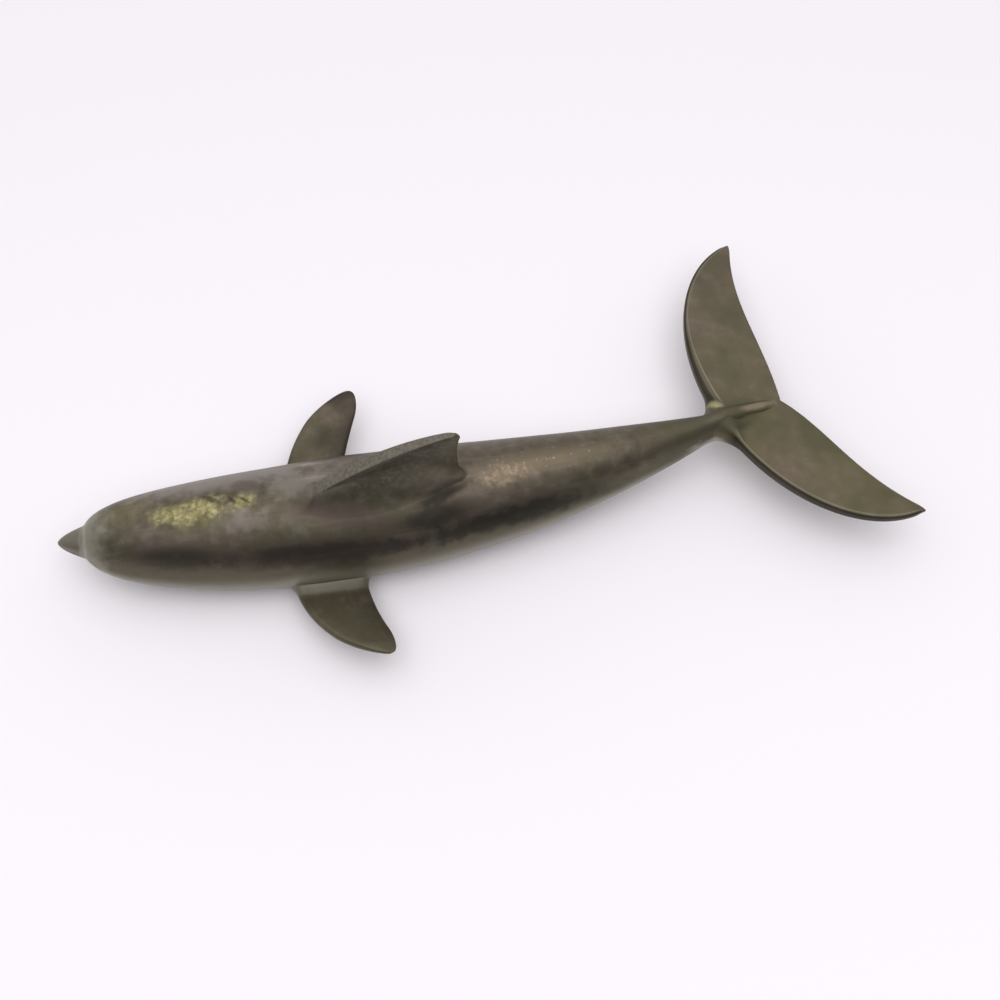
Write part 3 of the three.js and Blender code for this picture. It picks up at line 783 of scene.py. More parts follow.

# Wear, and painted reflections, highlights and shade, that cross the skin, its dressed seams and the foot
# of the dorsal fin alike
SKIN_WEAR_AND_LIGHT = {
    "stock_dull": (Mark(-63, 0, 16, 20, ragged=0.4), Layer("olive", 0.6, 0.65)),
    "stock_floor_reflection": STOCK_FLOOR_REFLECTION,
    # Lighter band along the far upper flank: grey bloom, with the painted reflection of the bright room
    # behind
    "far_bloom_and_reflection": (Mark(20, -7, 30, 6.5), Layer("lilac", 0.5, 0.8)),
    "nose_pale": (Mark(42.5, 0, 6.5, 20, soft=1), Layer("ash", 0.5, 0.5)),
    "head_front": (Mark(35, -2, 8, 5, soft=1), Layer("bare", 0.5, 0.25)),
    # Pale grey on the near flank above the pectoral's root: painted light over the fin's dark reflection
    "root_painted_light": (Mark(3.5, 17, 11, 4.5, soft=1, ragged=0.2), Layer("ash", 0.54, 0.85)),
    # Head and middle: dark bands low on the near flank, painted as the reflection of the dark room on the
    # camera's side
    "head_dark_reflection": (Mark(27, 8, 12, 3.6, turn=-8), Layer("soot", 0.46, 0.55)),
    "middle_dark_reflection": (
        Mark(3, 10.8, 32, 4, turn=-3),
        Layer("plum", 0.48, 0.7),
        Layer("soot", 0.48, 0.3, low=0.3),
    ),
    # Tail: the same painted dark reflection low on the near flank
    "tail_dark_reflection": (Mark(-28, 9.3, 28, 3.6, turn=6), Layer("soot", 0.46, 0.85)),
    "far_dark": (Mark(0, -10.5, 44, 3.6), Layer("plum", 0.42, 0.4)),
    "flank_warm": (
        Mark(-0.5, 4.6, 16, 3, turn=-14),
        Layer("violet", 0.48, 0.6),
        Layer("plum", 0.48, 0.08),
        Layer("violet", 0.42, 0.4, "stroke", 0.4, 0.7),
    ),
    "nape_bloom": (Mark(15, 3.6, 5.5, 4, soft=1, ragged=1.4), Layer("lilac", 0.5, 0.35)),
    "back_filed": (Mark(6, -2.6, 11, 5, turn=-10), Layer("lilac", 0.48, 0.65)),
    "back_streak": (Mark(3.5, -2.9, 4.5, 0.6, turn=-9), Layer("rose", 0.5, 0.3)),
    "back_scuff": (Mark(4.4, -7.6, 4, 1, turn=-9), Layer("rose", 0.5, 0.4)),
    # Pale ring round the nose at the beak's joint: painted highlight along the crease
    "nose_joint_highlight": (Mark(42.7, 0.5, 0.7, 9), Layer("ash", 0.5, 0.35)),
    "head_halo": (Mark(25.2, 0.8, 10, 4.6, turn=-4), Layer("moss", 0.48, 0.5)),
    "head_rubbed": (Mark(25.6, 0.5, 7, 2.8, turn=-5, soft=0.8, ragged=1.4), *RUBBED),
    "head_lobe": (Mark(21.2, -0.7, 4.2, 2.6, soft=0.8, ragged=1.4), *RUBBED),
    "nape_rubbed": (Mark(15.6, -0.4, 3.4, 2, ragged=1.4), *RUBBED),
    "nape_smudge": (Mark(15, -3.6, 4, 2.2, turn=-10, soft=0.8), Layer("violet", 0.5, 0.7)),
    "front_scratch": (Mark(20.6, -1.5, 4, 0.9, turn=-32), SCRATCHED),
    "middle_scratch": (Mark(17.2, -0.8, 1.8, 0.7, turn=-50), SCRATCHED),
    "rear_scratch": (Mark(15.2, -0.5, 2.2, 0.5, turn=-38), SCRATCHED),
    "ridge_rubbed": (
        Mark(-34, 0.5, 20, 3.4, soft=1, ragged=0.5),
        Layer("tan", 0.46, 0.7, "spot", 0.2, 0.66),
        Layer("rose", 0.5, 0.6, "fleck", 0.6, 0.7),
    ),
    "crest_rubbed": (
        Mark(-28, 1.8, 8, 2.9, turn=8, soft=1),
        Layer("tan", 0.46, 0.5),
        Layer("rose", 0.5, 0.5, "fleck", 0.4, 0.7),
    ),
    # Soot in the valley at the dorsal fin's foot and on the flank below it: painted shade
    "fin_shade": (Mark(-15.5, 7, 10, 3.4, turn=10), Layer("soot", 0.48, 0.65)),
    "fin_crease_shade": (Mark(-16.6, 3.8, 7.4, 1.9, turn=17), Layer("soot", 0.52, 0.75)),
}

# Wear round the roots of the flukes, with painted shade, reflection and highlight
FLUKE_WEAR_AND_LIGHT = {
    "ridge_dull": (Mark(-66, 0, 9, 9), Layer("olive", 0.6, 0.6)),
    "stock_floor_reflection": STOCK_FLOOR_REFLECTION,
    # Soot at a fluke's front root: painted shade in the crease
    "root_crease_shade": (Mark(-71.5, 3, 4.5, 1.7), Layer("soot", 0.5, 0.5)),
    "root_spot": (Mark(-68, -2.9, 2, 1.6, soft=0.7), Layer("cream", 0.5, 0.75)),
    # Rose along the ridge's top: scuffed metal, painted lighter as the ridge's highlight
    "ridge_top_scuff_and_highlight": (Mark(-74.5, 0, 5.5, 1.1), Layer("rose", 0.5, 0.4)),
}


def floor_reflection_below(finish):
    """Painted reflection of the pale floor: olive low on the flanks, pale grey towards the lower edge and
    brown again on the underside.
    """
    finish.lay("olive", 0.5, finish.worn, 0.32, 0.42, 0.8)
    finish.lay("ash", 0.54, finish.worn, 0.43, 0.6, 0.75)
    finish.lay("brown", 0.5, finish.worn, 0.62, 0.8, 0.7)


def buffed_body():
    """Cast brass buffed smooth: brown satin patina rubbed to yellow above, with a painted reflection of
    the floor below and painted dark reflections and shade in its marks.
    """
    finish = Finish("brass_cast_buffed_browned", SATIN, BODY_STROKES)
    floor_reflection_below(finish)
    finish.wear(SKIN_WEAR_AND_LIGHT)
    return finish.made(GRAIN_BUFFED)


def dressed_filler():
    """Brazing filler dressed flush: a shade yellower than the castings under the same brown tarnish."""
    finish = Finish("brass_filler_dressed_browned", SATIN, BODY_STROKES)
    finish.lay("filler", 0.46, "spot", 0.35, 0.7, 0.2)
    floor_reflection_below(finish)
    finish.wear(SKIN_WEAR_AND_LIGHT)
    return finish.made(GRAIN_BUFFED)


def buffed_beak():
    """Cast brass buffed with the head: brown satin patina, with a painted highlight in pale grey where
    the beak meets it.
    """
    finish = Finish("brass_cast_buffed_beak", 0.46, BODY_STROKES)
    finish.lay("lilac", 0.46, "cloud", 0.3, 0.6, 0.45)
    # Painted highlight: pale grey on the brazed fillet along the joint's crease
    finish.lay("ash", 0.5, finish.worn, 0.2, 0.9, 0.3)
    return finish.made(GRAIN_BUFFED)


def filed_fin():
    """Cast brass with a filed front: a pale sandy band over darker faces that are smooth to the rear."""
    finish = Finish("brass_cast_filed_browned", SATIN, BODY_STROKES)
    finish.wear(SKIN_WEAR_AND_LIGHT)
    clear = finish.clear(0.2, 3.2)
    band = add(finish.tree, "ShaderNodeMath", {0: clear, 1: finish.worn}, operation="MULTIPLY")
    finish.lay("olive", 0.46, finish.chord, 0, 1, 0.6, clear)
    finish.lay("soot", 0.48, finish.chord, 1, 0.35, 0.4, clear)
    finish.lay("sage", 0.5, finish.chord, 0.22, 0.05, 0.5, clear)
    finish.lay("sage", 0.5, "fleck", 0.48, 0.7, 0.4, clear)
    finish.lay("sage", 0.52, band, 0.3, 0.7, 0.85)
    finish.lay("soot", 0.55, "grain", 0.46, 0.66, 0.25, band)
    finish.lay("lilac", 0.55, "grain", 0.48, 0.36, 0.25, band)
    return finish.made(GRAIN_FILED)


def cast_fin(name, gloss, tint, pale, warm):
    """Cast brass hardly worked after casting: plain brown, with painted shade and painted highlight along
    its edges.

    Pale is how far the root shoulder is painted pale grey as painted light, and warm how far the faces
    are half worn."""
    finish = Finish(name, gloss, FIN_STROKES)
    finish.lay(tint, gloss, "cast", 0.72, 0.36, 0.8)
    finish.lay("moss", gloss, "cloud", 0.3, 0.6, warm)
    finish.lay("tan", gloss, "cast", 0.36, 0.6, warm)
    # Painted light: the root shoulder is painted pale grey near the skin
    finish.lay("ash", gloss, finish.above, 3, 1.2, pale)
    clear = finish.clear(0.3, 2.5)
    # Painted shade on the flukes' front edge faces, where the edge value is below zero
    finish.lay("soot", gloss, finish.worn, -0.1, -0.8, 0.75, clear)
    # Painted highlight along the flukes' rim, where the edge value is high
    finish.lay("ash", gloss, finish.worn, 0.5, 0.95, 0.5, clear)
    return finish


def matt_paper(tint):
    """Matt white paper: even, with no gloss, so that only shadow marks it."""
    material = bpy.data.materials.new("paper_matt_white")
    material.use_nodes = True
    tree = material.node_tree
    tree.nodes.clear()
    shader = add(tree, "ShaderNodeBsdfDiffuse", {"Color": rgba(tint), "Roughness": 1.0})
    add(tree, "ShaderNodeOutputMaterial", {"Surface": shader})
    return material


# Pieces

# Rings and points of each shell, and how near to its tip a blade's last ring lies
HALF_RINGS, HALF_POINTS = 320, 80
EYE_RINGS, EYE_POINTS = 16, 40
SEAM_RINGS, SEAM_POINTS = 160, 13
BEAK_RINGS, BEAK_POINTS, BEAK_TIP = 120, 96, 0.995
DORSAL_RINGS, DORSAL_TIP = 160, 0.998
PECTORAL_RINGS, PECTORAL_TIP = 200, 0.998
FLUKE_RINGS, FLUKE_TIP = 240, 0.999
RIDGE_RINGS, RIDGE_POINTS = 60, 64
# Powers by which rings crowd to the nose, to the beak's tip and to the tips of the fins
NOSE_CROWDING = 1.7
PECTORAL_CROWDING = 2
FLUKE_CROWDING = 1.6
# Half width of the bore that stands for solid metal inside the halves
CORE = 0.15 * MM
# Corner between the dorsal fin's filed front and its faces
BAND_CORNER = 0.12 * MM
# Place of the share of the chord in a blade's columns
CHORD = 5
# Rounds of cutting that turn a blade's corners to curves
CORNER_ROUNDS = 2
# A rounded edge takes at most this share of a fin's chord
EDGE_MOST = 0.3


def places(*values):
    """What the finish reads at each point, from three values by ring and point."""
    return np.stack(np.broadcast_arrays(*values), -1)


def turned(rings, turns):
    """Edge values for a shell of the body: how far each point is turned from the back to the belly."""
    return np.broadcast_to(places(np.abs(turns) / math.pi, 0.0, 0.0), rings.shape)


def above_rest(points, edge, rest=0.0):
    """Points kept above the belly's flat, with its edge rounded."""
    z = points[..., 2] - rest
    eased = np.where(np.abs(z) < edge, (z + edge) ** 2 / (4 * edge), np.maximum(z, 0))
    points[..., 2] = eased + rest
    return points


def half_shell(skin, side):
    """Half of the hollow body: the outside, and the inside between a solid head and a solid stock."""
    body = skin.body
    total = body.nose_ahead + body.stock_behind
    from_nose = total * (np.arange(1, HALF_RINGS + 1) / HALF_RINGS) ** NOSE_CROWDING
    along = (body.nose_ahead - from_nose)[:, None]
    turn = side * np.linspace(0, math.pi, HALF_POINTS)[None]
    outside = above_rest(skin.surface(along, turn), body.rest_edge)
    open_to = body.nose_ahead - body.head_solid
    open_from = body.stock_solid - body.stock_behind
    hollow = smooth((open_to - along) / body.wall) * smooth((along - open_from) / body.wall)
    wide, deep = (
        mix(CORE, np.maximum(half(along) - body.wall, CORE), hollow)
        for half in (skin.half_width, skin.half_depth)
    )
    back = side * np.linspace(math.pi, 0, HALF_POINTS // 2)[None]
    inside = skin.beside(along, wide * np.sin(back), deep * np.cos(back))
    inside = above_rest(inside, body.rest_edge, body.wall)
    rings = np.concatenate((outside, inside), 1)
    turns = np.concatenate((turn, back), 1)
    return rings, places(along / MM, turns * skin.half_width(along) / MM, 0.0), turned(rings, turns)


def eye_shell(skin, side):
    """A low domed eye on the skin, with a skirt that is sunk into it."""
    skirt, flare, top = 0.35, 0.6, 0.97
    body = skin.body
    along = body.nose_ahead - body.eye_from_nose
    turn = side * (math.pi / 2 + body.eye_below)
    centre = skin.surface(along, turn)[0]
    normal = unit(skin.slope(centre[None])[0])
    across = unit(np.cross(normal, UP))
    down = np.cross(normal, across)
    spin = np.linspace(0, 2 * math.pi, EYE_POINTS, endpoint=False)
    circle = np.outer(np.cos(spin), across) + np.outer(np.sin(spin), down)
    rings = []
    for climb in np.linspace(-skirt, 1, EYE_RINGS):
        lean = max(climb, 0) * math.pi / 2 * top
        radius = body.eye_radius * (math.cos(lean) + max(-climb, 0) * flare)
        foot = skin.settle(centre + circle * radius, SUNK)
        rings.append(foot + normal * body.eye_height * math.sin(lean))
    rings = np.array(rings)
    return rings, skin.place(rings), turned(rings, turn)


def seam_shell(skin, start, end, middle):
    """A strip of filler along the seam, rounded at its ends, from the skin down into the groove."""
    blunt = 0.02
    body = skin.body
    proud = body.seam_proud
    along = np.linspace(start, end, SEAM_RINGS)[:, None]
    to_end = np.minimum(along - start, end - along) / body.seam_width
    narrow = np.sqrt(np.clip(1 - (1 - np.minimum(to_end * 2, 1)) ** 2, blunt, 1))
    across = np.linspace(-1, 1, SEAM_POINTS)[None]
    turn = across * narrow * body.seam_width / 2 / skin.half_width(along)
    round_off = across**4
    outside = skin.surface(along, middle + turn, (proud + SUNK) * round_off - proud)
    inside = skin.surface(along, middle + turn[:, ::-1], body.seam_depth * (1 - round_off) + SUNK * 2)
    rings = np.concatenate((outside, inside), 1)
    around = np.concatenate((turn, turn[:, ::-1]), 1) + middle
    rings = above_rest(rings, body.rest_edge, -proud / 2)
    return rings, places(along / MM, around * skin.half_width(along) / MM, 0.0), turned(rings, around)


def beak_shell(skin, beak):
    """The beak: an ogive from inside the head, with the line between its jaws."""
    mouth_fine, mouth_fade = 0.004, 0.5
    nose, ahead, left = skin.frames(np.array([skin.body.nose_ahead]))
    from_tip = (beak.reach + beak.root) * (1 - np.linspace(0, BEAK_TIP, BEAK_RINGS)) ** NOSE_CROWDING
    spin = np.linspace(0, 2 * math.pi, BEAK_POINTS, endpoint=False)[:, None]
    swelling = (from_tip / beak.reach) ** beak.taper
    jaw = np.exp(-(((np.abs(np.sin(spin)) - 1) / mouth_fine) ** 2))
    jaw = jaw * smooth(from_tip / (mouth_fade * beak.reach))
    wide = beak.half_width * swelling - beak.mouth_depth * jaw
    deep = beak.half_depth * swelling
    points = nose - UP * beak.drop + ahead * (beak.reach - from_tip)[None, :, None]
    points = points + left * (wide * np.sin(spin))[..., None] + UP * (deep * np.cos(spin))[..., None]
    worn = np.broadcast_to(smooth((from_tip - beak.reach) / beak.fillet + 1), points.shape[:2])
    columns = np.concatenate((points, places(worn, from_tip / beak.reach, 0 * spin)), -1)
    width = np.full(len(spin), beak.fillet)
    return grow(skin, columns, width, width)


def blade_columns(upper, front, rear, origin, axes):
    """Columns of a blade from its sections, which are the same above and below.

    Upper holds the points of a section from front to rear: the share of the chord, the height and the
    wear. Front and rear are the blade's edges along the first two axes, and heights follow the third."""
    upper = np.stack([places(*point) for point in upper], 1)
    outline = cut_corners(np.concatenate((upper, upper[:, ::-1] * (1, -1, 1)), 1), CORNER_ROUNDS)
    spot = mix(front[:, None], rear[:, None], outline[..., :1])
    spot = np.concatenate((spot, outline[..., 1:2]), -1)
    points = origin + spot @ np.array(axes)
    spread = np.linspace(0, 1, len(front))[:, None]
    columns = np.concatenate((points, places(outline[..., 2], spread, outline[..., 0])), -1)
    return np.swapaxes(columns, 0, 1)


def round_tip(front, rear, t, rounding):
    """Front and rear edges that close in a round tip after a share of the span."""
    narrow = np.sqrt(1 - np.clip((t - rounding) / (1 - rounding), 0, 1) ** 2)[:, None]
    centre = (front + rear) / 2
    return mix(centre, front, narrow), mix(centre, rear, narrow)


def dorsal_shell(skin, dorsal):
    """The dorsal fin: a flat filed front, hollowed faces and a thin rear edge."""
    middle = dorsal.base / 2 - dorsal.behind
    point, ahead, left = skin.frames(middle)
    back = skin.half_depth(middle)
    low = back - dorsal.root
    t = np.linspace(0, DORSAL_TIP, DORSAL_RINGS)
    bow = (dorsal.base * dorsal.front_bow, dorsal.height - dorsal.tip_drop)
    front = bezier(((dorsal.base, low), bow, (dorsal.tip_chord, dorsal.height)), t)
    hollow = (dorsal.rear_hollow, (back + dorsal.height) / 2)
    rear = bezier(((0, low), hollow, (0, dorsal.height - dorsal.tip_chord / 2)), t)
    front, rear = round_tip(front, rear, t, dorsal.rounding)
    chord = np.linalg.norm(front - rear, axis=1)
    band = bezier_values(dorsal.band, t) * np.sqrt(np.minimum(chord / dorsal.tip_chord, 1))
    corner = BAND_CORNER / chord
    thin = np.minimum(dorsal.rear_half, band)
    waist = np.maximum(band * dorsal.waist, thin)
    end = np.minimum(dorsal.rear_half / chord, EDGE_MOST)
    # Points of the section: share of the chord, half thickness, and how much of it was filed
    upper = (
        (0, band * 0.92, 1),
        (corner, band, 0.9),
        (corner * 4, band * 0.97, 0.1),
        (0.2, mix(band, waist, 0.55), 0),
        (0.42, waist, 0),
        (0.7, mix(waist, thin, 0.7), 0),
        (1 - end, thin, 0),
        (1, thin * 0.5, 0),
    )
    columns = blade_columns(upper, front, rear, point - ahead * dorsal.base / 2, (ahead, UP, left))
    at = columns[:, 0, CHORD]
    foot, climb = (bezier_values(values, at) for values in (dorsal.foot, dorsal.climb))
    rear_from, rear_run = 0.5, 0.35
    ease = mix(dorsal.foot_ease, dorsal.rear_ease, smooth((at - rear_from) / rear_run))
    return grow(skin, columns, foot, climb, ease, dorsal.face_ease)


def pectoral_shell(skin, fin, side):
    """A pectoral fin: a paddle with rounded edges, swept back to a round tip."""
    body = skin.body
    middle, ahead, left = skin.frames(0.0)
    root = middle + left * side * body.half_width * math.cos(fin.below)
    root = root - UP * body.half_depth * math.sin(fin.below)
    outboard = left * side * math.cos(fin.lift) + UP * math.sin(fin.lift)
    across = UP * math.cos(fin.lift) - left * side * math.sin(fin.lift)
    t = 1 - (1 - np.linspace(0, PECTORAL_TIP, PECTORAL_RINGS)) ** PECTORAL_CROWDING
    span, sweep, cut = fin.span, fin.sweep, 0
    if side < 0:
        span, sweep, cut = fin.right_span, fin.right_sweep, fin.right_cut
    rear_root = fin.ahead - fin.chord
    tip_rear = rear_root - sweep + fin.tip_chord / 2
    front = bezier(((fin.ahead, -fin.root), (fin.ahead, span / 2), (tip_rear + fin.tip_chord, span)), t)
    rear = bezier(((rear_root + cut, -fin.root), (rear_root, span / 2), (tip_rear, span)), t)
    front, rear = round_tip(front, rear, t, fin.rounding)
    chord = np.linalg.norm(front - rear, axis=1)
    half = mix(fin.thickness, fin.tip_thickness, t) / 2 * np.sqrt(np.minimum(chord / fin.tip_chord, 1))
    bevel = np.minimum(fin.bevel / chord, EDGE_MOST)
    # Points of the section: share of the chord, half thickness, and how far the edge is rubbed
    upper = (
        (0, half * 0.3, 0.5),
        (bevel * 0.35, half * 0.72, 0.5),
        (bevel, half, 0.1),
        (0.5, half, 0),
        (1 - bevel, half * 0.7, 0.1),
        (1, half * 0.25, 0.5),
    )
    columns = blade_columns(upper, front, rear, root, (ahead, outboard, across))
    rows = np.ones(len(columns))
    return grow(skin, columns, rows * fin.fillet, rows * fin.shoulder, fin.foot_ease, fin.face_ease)


def fluke_shell(skin, fluke, side):
    """One fluke: a plate with an upright front edge, a crisp rim above it and a thin rear edge."""
    heading = skin.body.stock_behind / skin.body.bend_radius + fluke.yaw
    ahead = np.array((math.cos(heading), math.sin(heading), 0))
    left = np.array((-math.sin(heading), math.cos(heading), 0))
    origin = skin.beside(skin.stock_end, 0, 0)[0]
    notch = skin.beside(skin.notch, 0, 0)[0] - origin
    t = 1 - (1 - np.linspace(0, FLUKE_TIP, FLUKE_RINGS)) ** FLUKE_CROWDING
    blunt = fluke.tip_chord / 2
    sweep = (fluke.front_sweep, fluke.half_span)
    tip = (fluke.tip_behind - blunt, fluke.half_span)
    front = bezier(((0, 0), (0, fluke.front_square), sweep, tip), t)
    root = (-notch @ ahead, side * (notch @ left + fluke.aside) + fluke.lap)
    bulge = (fluke.notch_behind + fluke.rear_bulge, fluke.rear_bulge_out)
    hollow = (fluke.notch_behind + fluke.rear_hollow, fluke.rear_hollow_out)
    tip = (fluke.tip_behind + blunt, fluke.half_span)
    rear = bezier((root, bulge, hollow, tip), t)
    front, rear = round_tip(front, rear, t, fluke.rounding)
    chord = np.linalg.norm(front - rear, axis=1)
    closing = np.sqrt(np.minimum(chord / (2 * fluke.tip_chord), 1))
    half = mix(fluke.thickness, fluke.tip_thickness, t) / 2 * closing
    root_bevel = fluke.bevel if side > 0 else fluke.right_bevel
    root_share = 0.5
    bevel = mix(root_bevel, fluke.bevel, smooth(t / root_share))
    bevel = np.minimum(bevel / chord, EDGE_MOST)
    dish = fluke.dish * np.minimum(chord / fluke.notch_behind, 1)
    # Points of the section: share of the chord, half thickness, and the edge value: painted shade on the
    # front face below zero, painted highlight on the rim above zero
    upper = (
        (0, half * 0.66, -1),
        (bevel * 0.3, half * 0.88, -1),
        (bevel * 0.9, half * 0.99, 0.3),
        (bevel * 1.05, half, 1),
        (bevel * 1.3, half - 0.3 * dish, 0.3),
        (mix(bevel, 1, 0.35), half * 0.94 - dish, 0),
        (mix(bevel, 1, 0.75), half * 0.74 - dish, 0),
        (1 - 0.3 * bevel, half * 0.45, 0.1),
        (1, half * 0.25, 0.6),
    )
    middle = origin - left * (side * fluke.lap + fluke.aside)
    columns = blade_columns(upper, front, rear, middle, (-ahead, left * side, UP))
    at = columns[:, 0, CHORD]
    front_run, rear_from, rear_run = 0.2, 0.3, 0.4
    to_front, to_rear = smooth(1 - at / front_run), smooth((at - rear_from) / rear_run)
    width = mix(mix(fluke.fillet, fluke.fillet_front, to_front), SUNK, to_rear)
    climb = mix(mix(fluke.climb, fluke.climb_front, to_front), fluke.climb_rear, to_rear)
    return grow(skin, columns, width, climb, fluke.foot_ease, fluke.face_ease)


def ridge_shell(skin):
    """The ridge that runs on from the stock to the notch between the flukes."""
    end = skin.notch + skin.flukes.ridge_short
    along = np.linspace(skin.stock_end, end, RIDGE_RINGS)[:, None]
    turn = np.linspace(0, 2 * math.pi, RIDGE_POINTS, endpoint=False)[None]
    rings = skin.surface(along, turn)
    return rings, skin.place(rings), np.zeros_like(rings)


# Operators


class DOLPHIN_OT_body_halves(bpy.types.Operator):
    """Make the left and right halves of the hollow body, with their eyes"""

    bl_idname = "dolphin.body_halves"
    bl_label = "Body halves"

    def execute(self, context):
        skin = Skin(context.scene.dolphin)
        material = buffed_body()
        for name, side in (("left_body_half", 1), ("right_body_half", -1)):
            piece(name, (half_shell(skin, side), eye_shell(skin, side)), material)
        return {"FINISHED"}


class DOLPHIN_OT_seams(bpy.types.Operator):
    """Make the brazed strips that join the halves along the back and the belly"""

    bl_idname = "dolphin.seams"
    bl_label = "Brazed seams"

    def execute(self, context):
        settings = context.scene.dolphin
        skin = Skin(settings)
        body, dorsal = settings.body, settings.dorsal
        tail = body.seam_from_stock - body.stock_behind
        nose = body.nose_ahead - body.seam_from_nose
        fin_front = dorsal.base - dorsal.behind + body.seam_from_fin
        fin_rear = -dorsal.behind - body.seam_from_fin
        material = dressed_filler()
        strips = (
            ("head_seam_braze", fin_front, nose, 0.0),
            ("stock_seam_braze", tail, fin_rear, 0.0),
            ("belly_seam_braze", tail, nose, math.pi),
        )
        for name, start, end, middle in strips:
            piece(name, (seam_shell(skin, start, end, middle),), material)
        return {"FINISHED"}


class DOLPHIN_OT_beak(bpy.types.Operator):
    """Make the beak"""

    bl_idname = "dolphin.beak"
    bl_label = "Beak"

    def execute(self, context):
        settings = context.scene.dolphin
        shell = beak_shell(Skin(settings), settings.beak)
        piece("beak", (shell,), buffed_beak())
        return {"FINISHED"}


class DOLPHIN_OT_dorsal_fin(bpy.types.Operator):
    """Make the dorsal fin"""

    bl_idname = "dolphin.dorsal_fin"
    bl_label = "Dorsal fin"

    def execute(self, context):
        settings = context.scene.dolphin
        shell = dorsal_shell(Skin(settings), settings.dorsal)
        piece("dorsal_fin", (shell,), filed_fin())
        return {"FINISHED"}


class DOLPHIN_OT_pectoral_fins(bpy.types.Operator):
    """Make the left and right pectoral fins"""

    bl_idname = "dolphin.pectoral_fins"
    bl_label = "Pectoral fins"

    def execute(self, context):
        settings = context.scene.dolphin
        skin = Skin(settings)
        for name, side, tint in (("left", 1, "olive"), ("right", -1, "plum")):
            finish = cast_fin("brass_cast_browned_" + name, gloss=0.48, tint=tint, pale=0.34, warm=0.08)
            shell = pectoral_shell(skin, settings.pectorals, side)
            piece(name + "_pectoral_fin", (shell,), finish.made(GRAIN_CAST))
        return {"FINISHED"}


class DOLPHIN_OT_tail_flukes(bpy.types.Operator):
    """Make the tail flukes with the ridge between them"""

    bl_idname = "dolphin.tail_flukes"
    bl_label = "Tail flukes"

    def execute(self, context):
        settings = context.scene.dolphin
        skin = Skin(settings)
        shells = [fluke_shell(skin, settings.flukes, side) for side in (1, -1)]
        finish = cast_fin("brass_cast_browned_flukes", gloss=0.46, tint="olive", pale=0, warm=0.24)
        finish.wear(FLUKE_WEAR_AND_LIGHT)
        piece("tail_flukes", (*shells, ridge_shell(skin)), finish.made(GRAIN_CAST))
        return {"FINISHED"}


# How far the floor lies below the rest, which keeps their faces apart
FLOOR_BELOW = 0.02 * MM
# The room's light rises between these cosines of the angle to its lightest direction
ROOM_FROM, ROOM_TO = -0.5, 0.6
# Width of the camera's sensor in millimetres, and the nearest that it sees
SENSOR_WIDTH = 36
NEAREST = 10 * MM


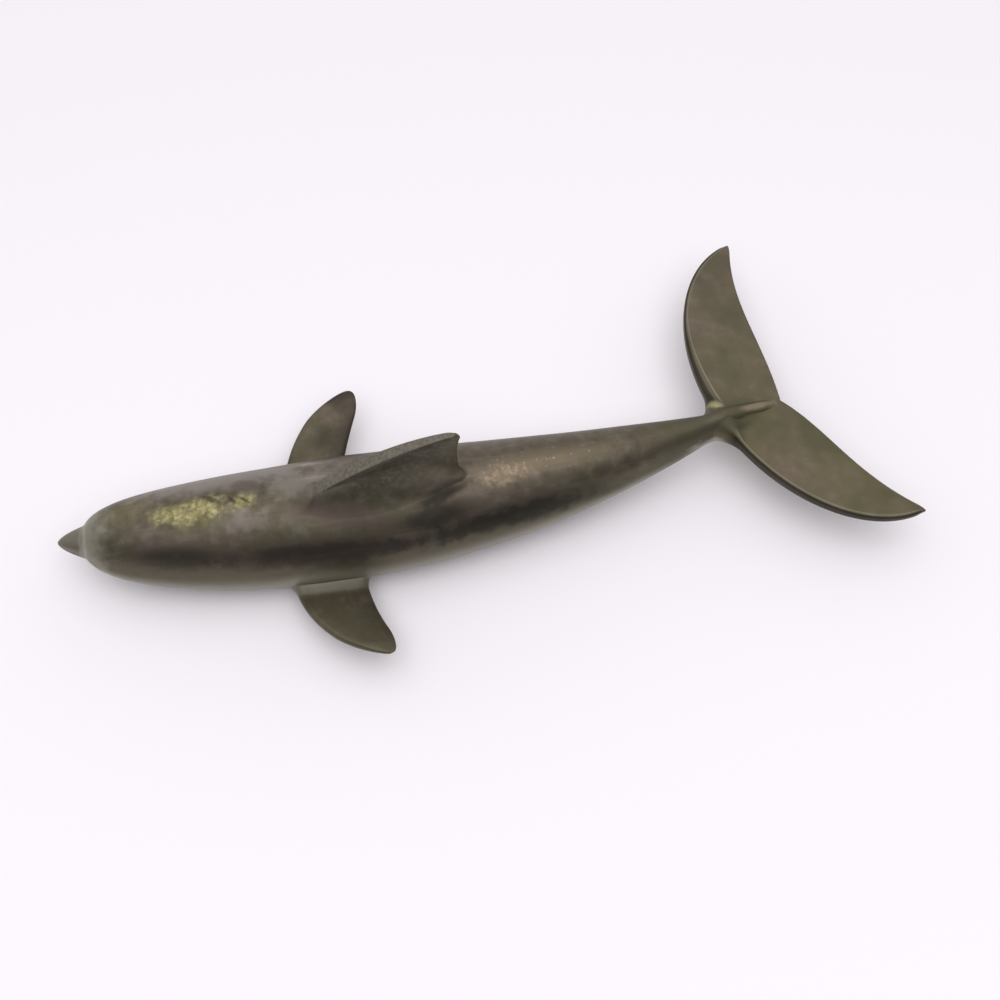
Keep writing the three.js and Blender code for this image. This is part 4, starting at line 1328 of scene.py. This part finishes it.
class DOLPHIN_OT_stage(bpy.types.Operator):
    """Set the pale floor, the two lamps, the room and the camera"""

    bl_idname = "dolphin.stage"
    bl_label = "Stage"

    def execute(self, context):
        stage = context.scene.dolphin.stage
        half = stage.floor_half
        mesh = bpy.data.meshes.new("floor")
        corners = [(-half, -half, 0), (half, -half, 0), (half, half, 0), (-half, half, 0)]
        mesh.from_pydata(corners, [], [(0, 1, 2, 3)])
        mesh.materials.append(matt_paper(stage.paper))
        floor = bpy.data.objects.new("floor", mesh)
        floor.location.z = -FLOOR_BELOW
        context.scene.collection.objects.link(floor)
        # The fill lamp lights the floor beside the dolphin and doesn't show in the metal
        for name, shows in (("softbox", True), ("fillbox", False)):
            width, left, height = getattr(stage, name)
            level = getattr(stage, name + "_level")
            lamp = bpy.data.lights.new(name, "AREA")
            lamp.shape = "SQUARE"
            lamp.size = width
            lamp.energy = level * math.pi * width**2
            hung = bpy.data.objects.new(name, lamp)
            hung.location = (0, left, height)
            hung.rotation_euler = (-hung.location).to_track_quat("-Z", "Y").to_euler()
            hung.visible_glossy = shows
            context.scene.collection.objects.link(hung)
        world = bpy.data.worlds.new("room")
        world.use_nodes = True
        tree = world.node_tree
        tree.nodes.clear()
        facing = {
            0: add(tree, "ShaderNodeTexCoord", out="Generated"),
            1: (0, -math.cos(stage.room_lean), math.sin(stage.room_lean)),
        }
        facing = add(tree, "ShaderNodeVectorMath", facing, out="Value", operation="DOT_PRODUCT")
        level = {0: facing, 1: ROOM_FROM, 2: ROOM_TO, 3: stage.room_dark, 4: stage.room_light}
        level = add(tree, "ShaderNodeMapRange", level, interpolation_type="SMOOTHSTEP")
        room = add(tree, "ShaderNodeBackground", {"Color": (1, 1, 1, 1), "Strength": level})
        add(tree, "ShaderNodeOutputWorld", {"Surface": room})
        context.scene.world = world
        lens = bpy.data.cameras.new("camera")
        lens.lens = stage.lens
        lens.sensor_width = SENSOR_WIDTH
        lens.clip_start = NEAREST
        camera = bpy.data.objects.new("camera", lens)
        camera.location = stage.camera
        view = Vector(stage.target) - camera.location
        camera.rotation_euler = view.to_track_quat("-Z", "Y").to_euler()
        context.scene.collection.objects.link(camera)
        context.scene.camera = camera
        context.scene.view_settings.view_transform = "Standard"
        return {"FINISHED"}


STEPS = (
    "body_halves",
    "seams",
    "beak",
    "dorsal_fin",
    "pectoral_fins",
    "tail_flukes",
    "stage",
)


class VIEW3D_PT_dolphin(bpy.types.Panel):
    """Sizes, colours and pieces of the dolphin"""

    bl_label = "Brass dolphin"
    bl_space_type = "VIEW_3D"
    bl_region_type = "UI"
    bl_category = "Dolphin"

    def draw(self, context):
        settings = context.scene.dolphin
        for step in STEPS:
            self.layout.operator("dolphin." + step)
        for group in settings.__annotations__:
            box = self.layout.box()
            box.label(text=group.capitalize())
            values = getattr(settings, group)
            for name in values.__annotations__:
                box.prop(values, name)


CLASSES = (
    DolphinBody,
    DolphinBeak,
    DolphinDorsal,
    DolphinPectorals,
    DolphinFlukes,
    DolphinFinish,
    DolphinStage,
    DolphinSettings,
    DOLPHIN_OT_body_halves,
    DOLPHIN_OT_seams,
    DOLPHIN_OT_beak,
    DOLPHIN_OT_dorsal_fin,
    DOLPHIN_OT_pectoral_fins,
    DOLPHIN_OT_tail_flukes,
    DOLPHIN_OT_stage,
    VIEW3D_PT_dolphin,
)


def register():
    for kind in CLASSES:
        bpy.utils.register_class(kind)
    bpy.types.Scene.dolphin = PointerProperty(type=DolphinSettings)


def unregister():
    del bpy.types.Scene.dolphin
    for kind in reversed(CLASSES):
        bpy.utils.unregister_class(kind)


def main():
    register()
    for step in STEPS:
        getattr(bpy.ops.dolphin, step)()


if __name__ == "__main__":
    main()
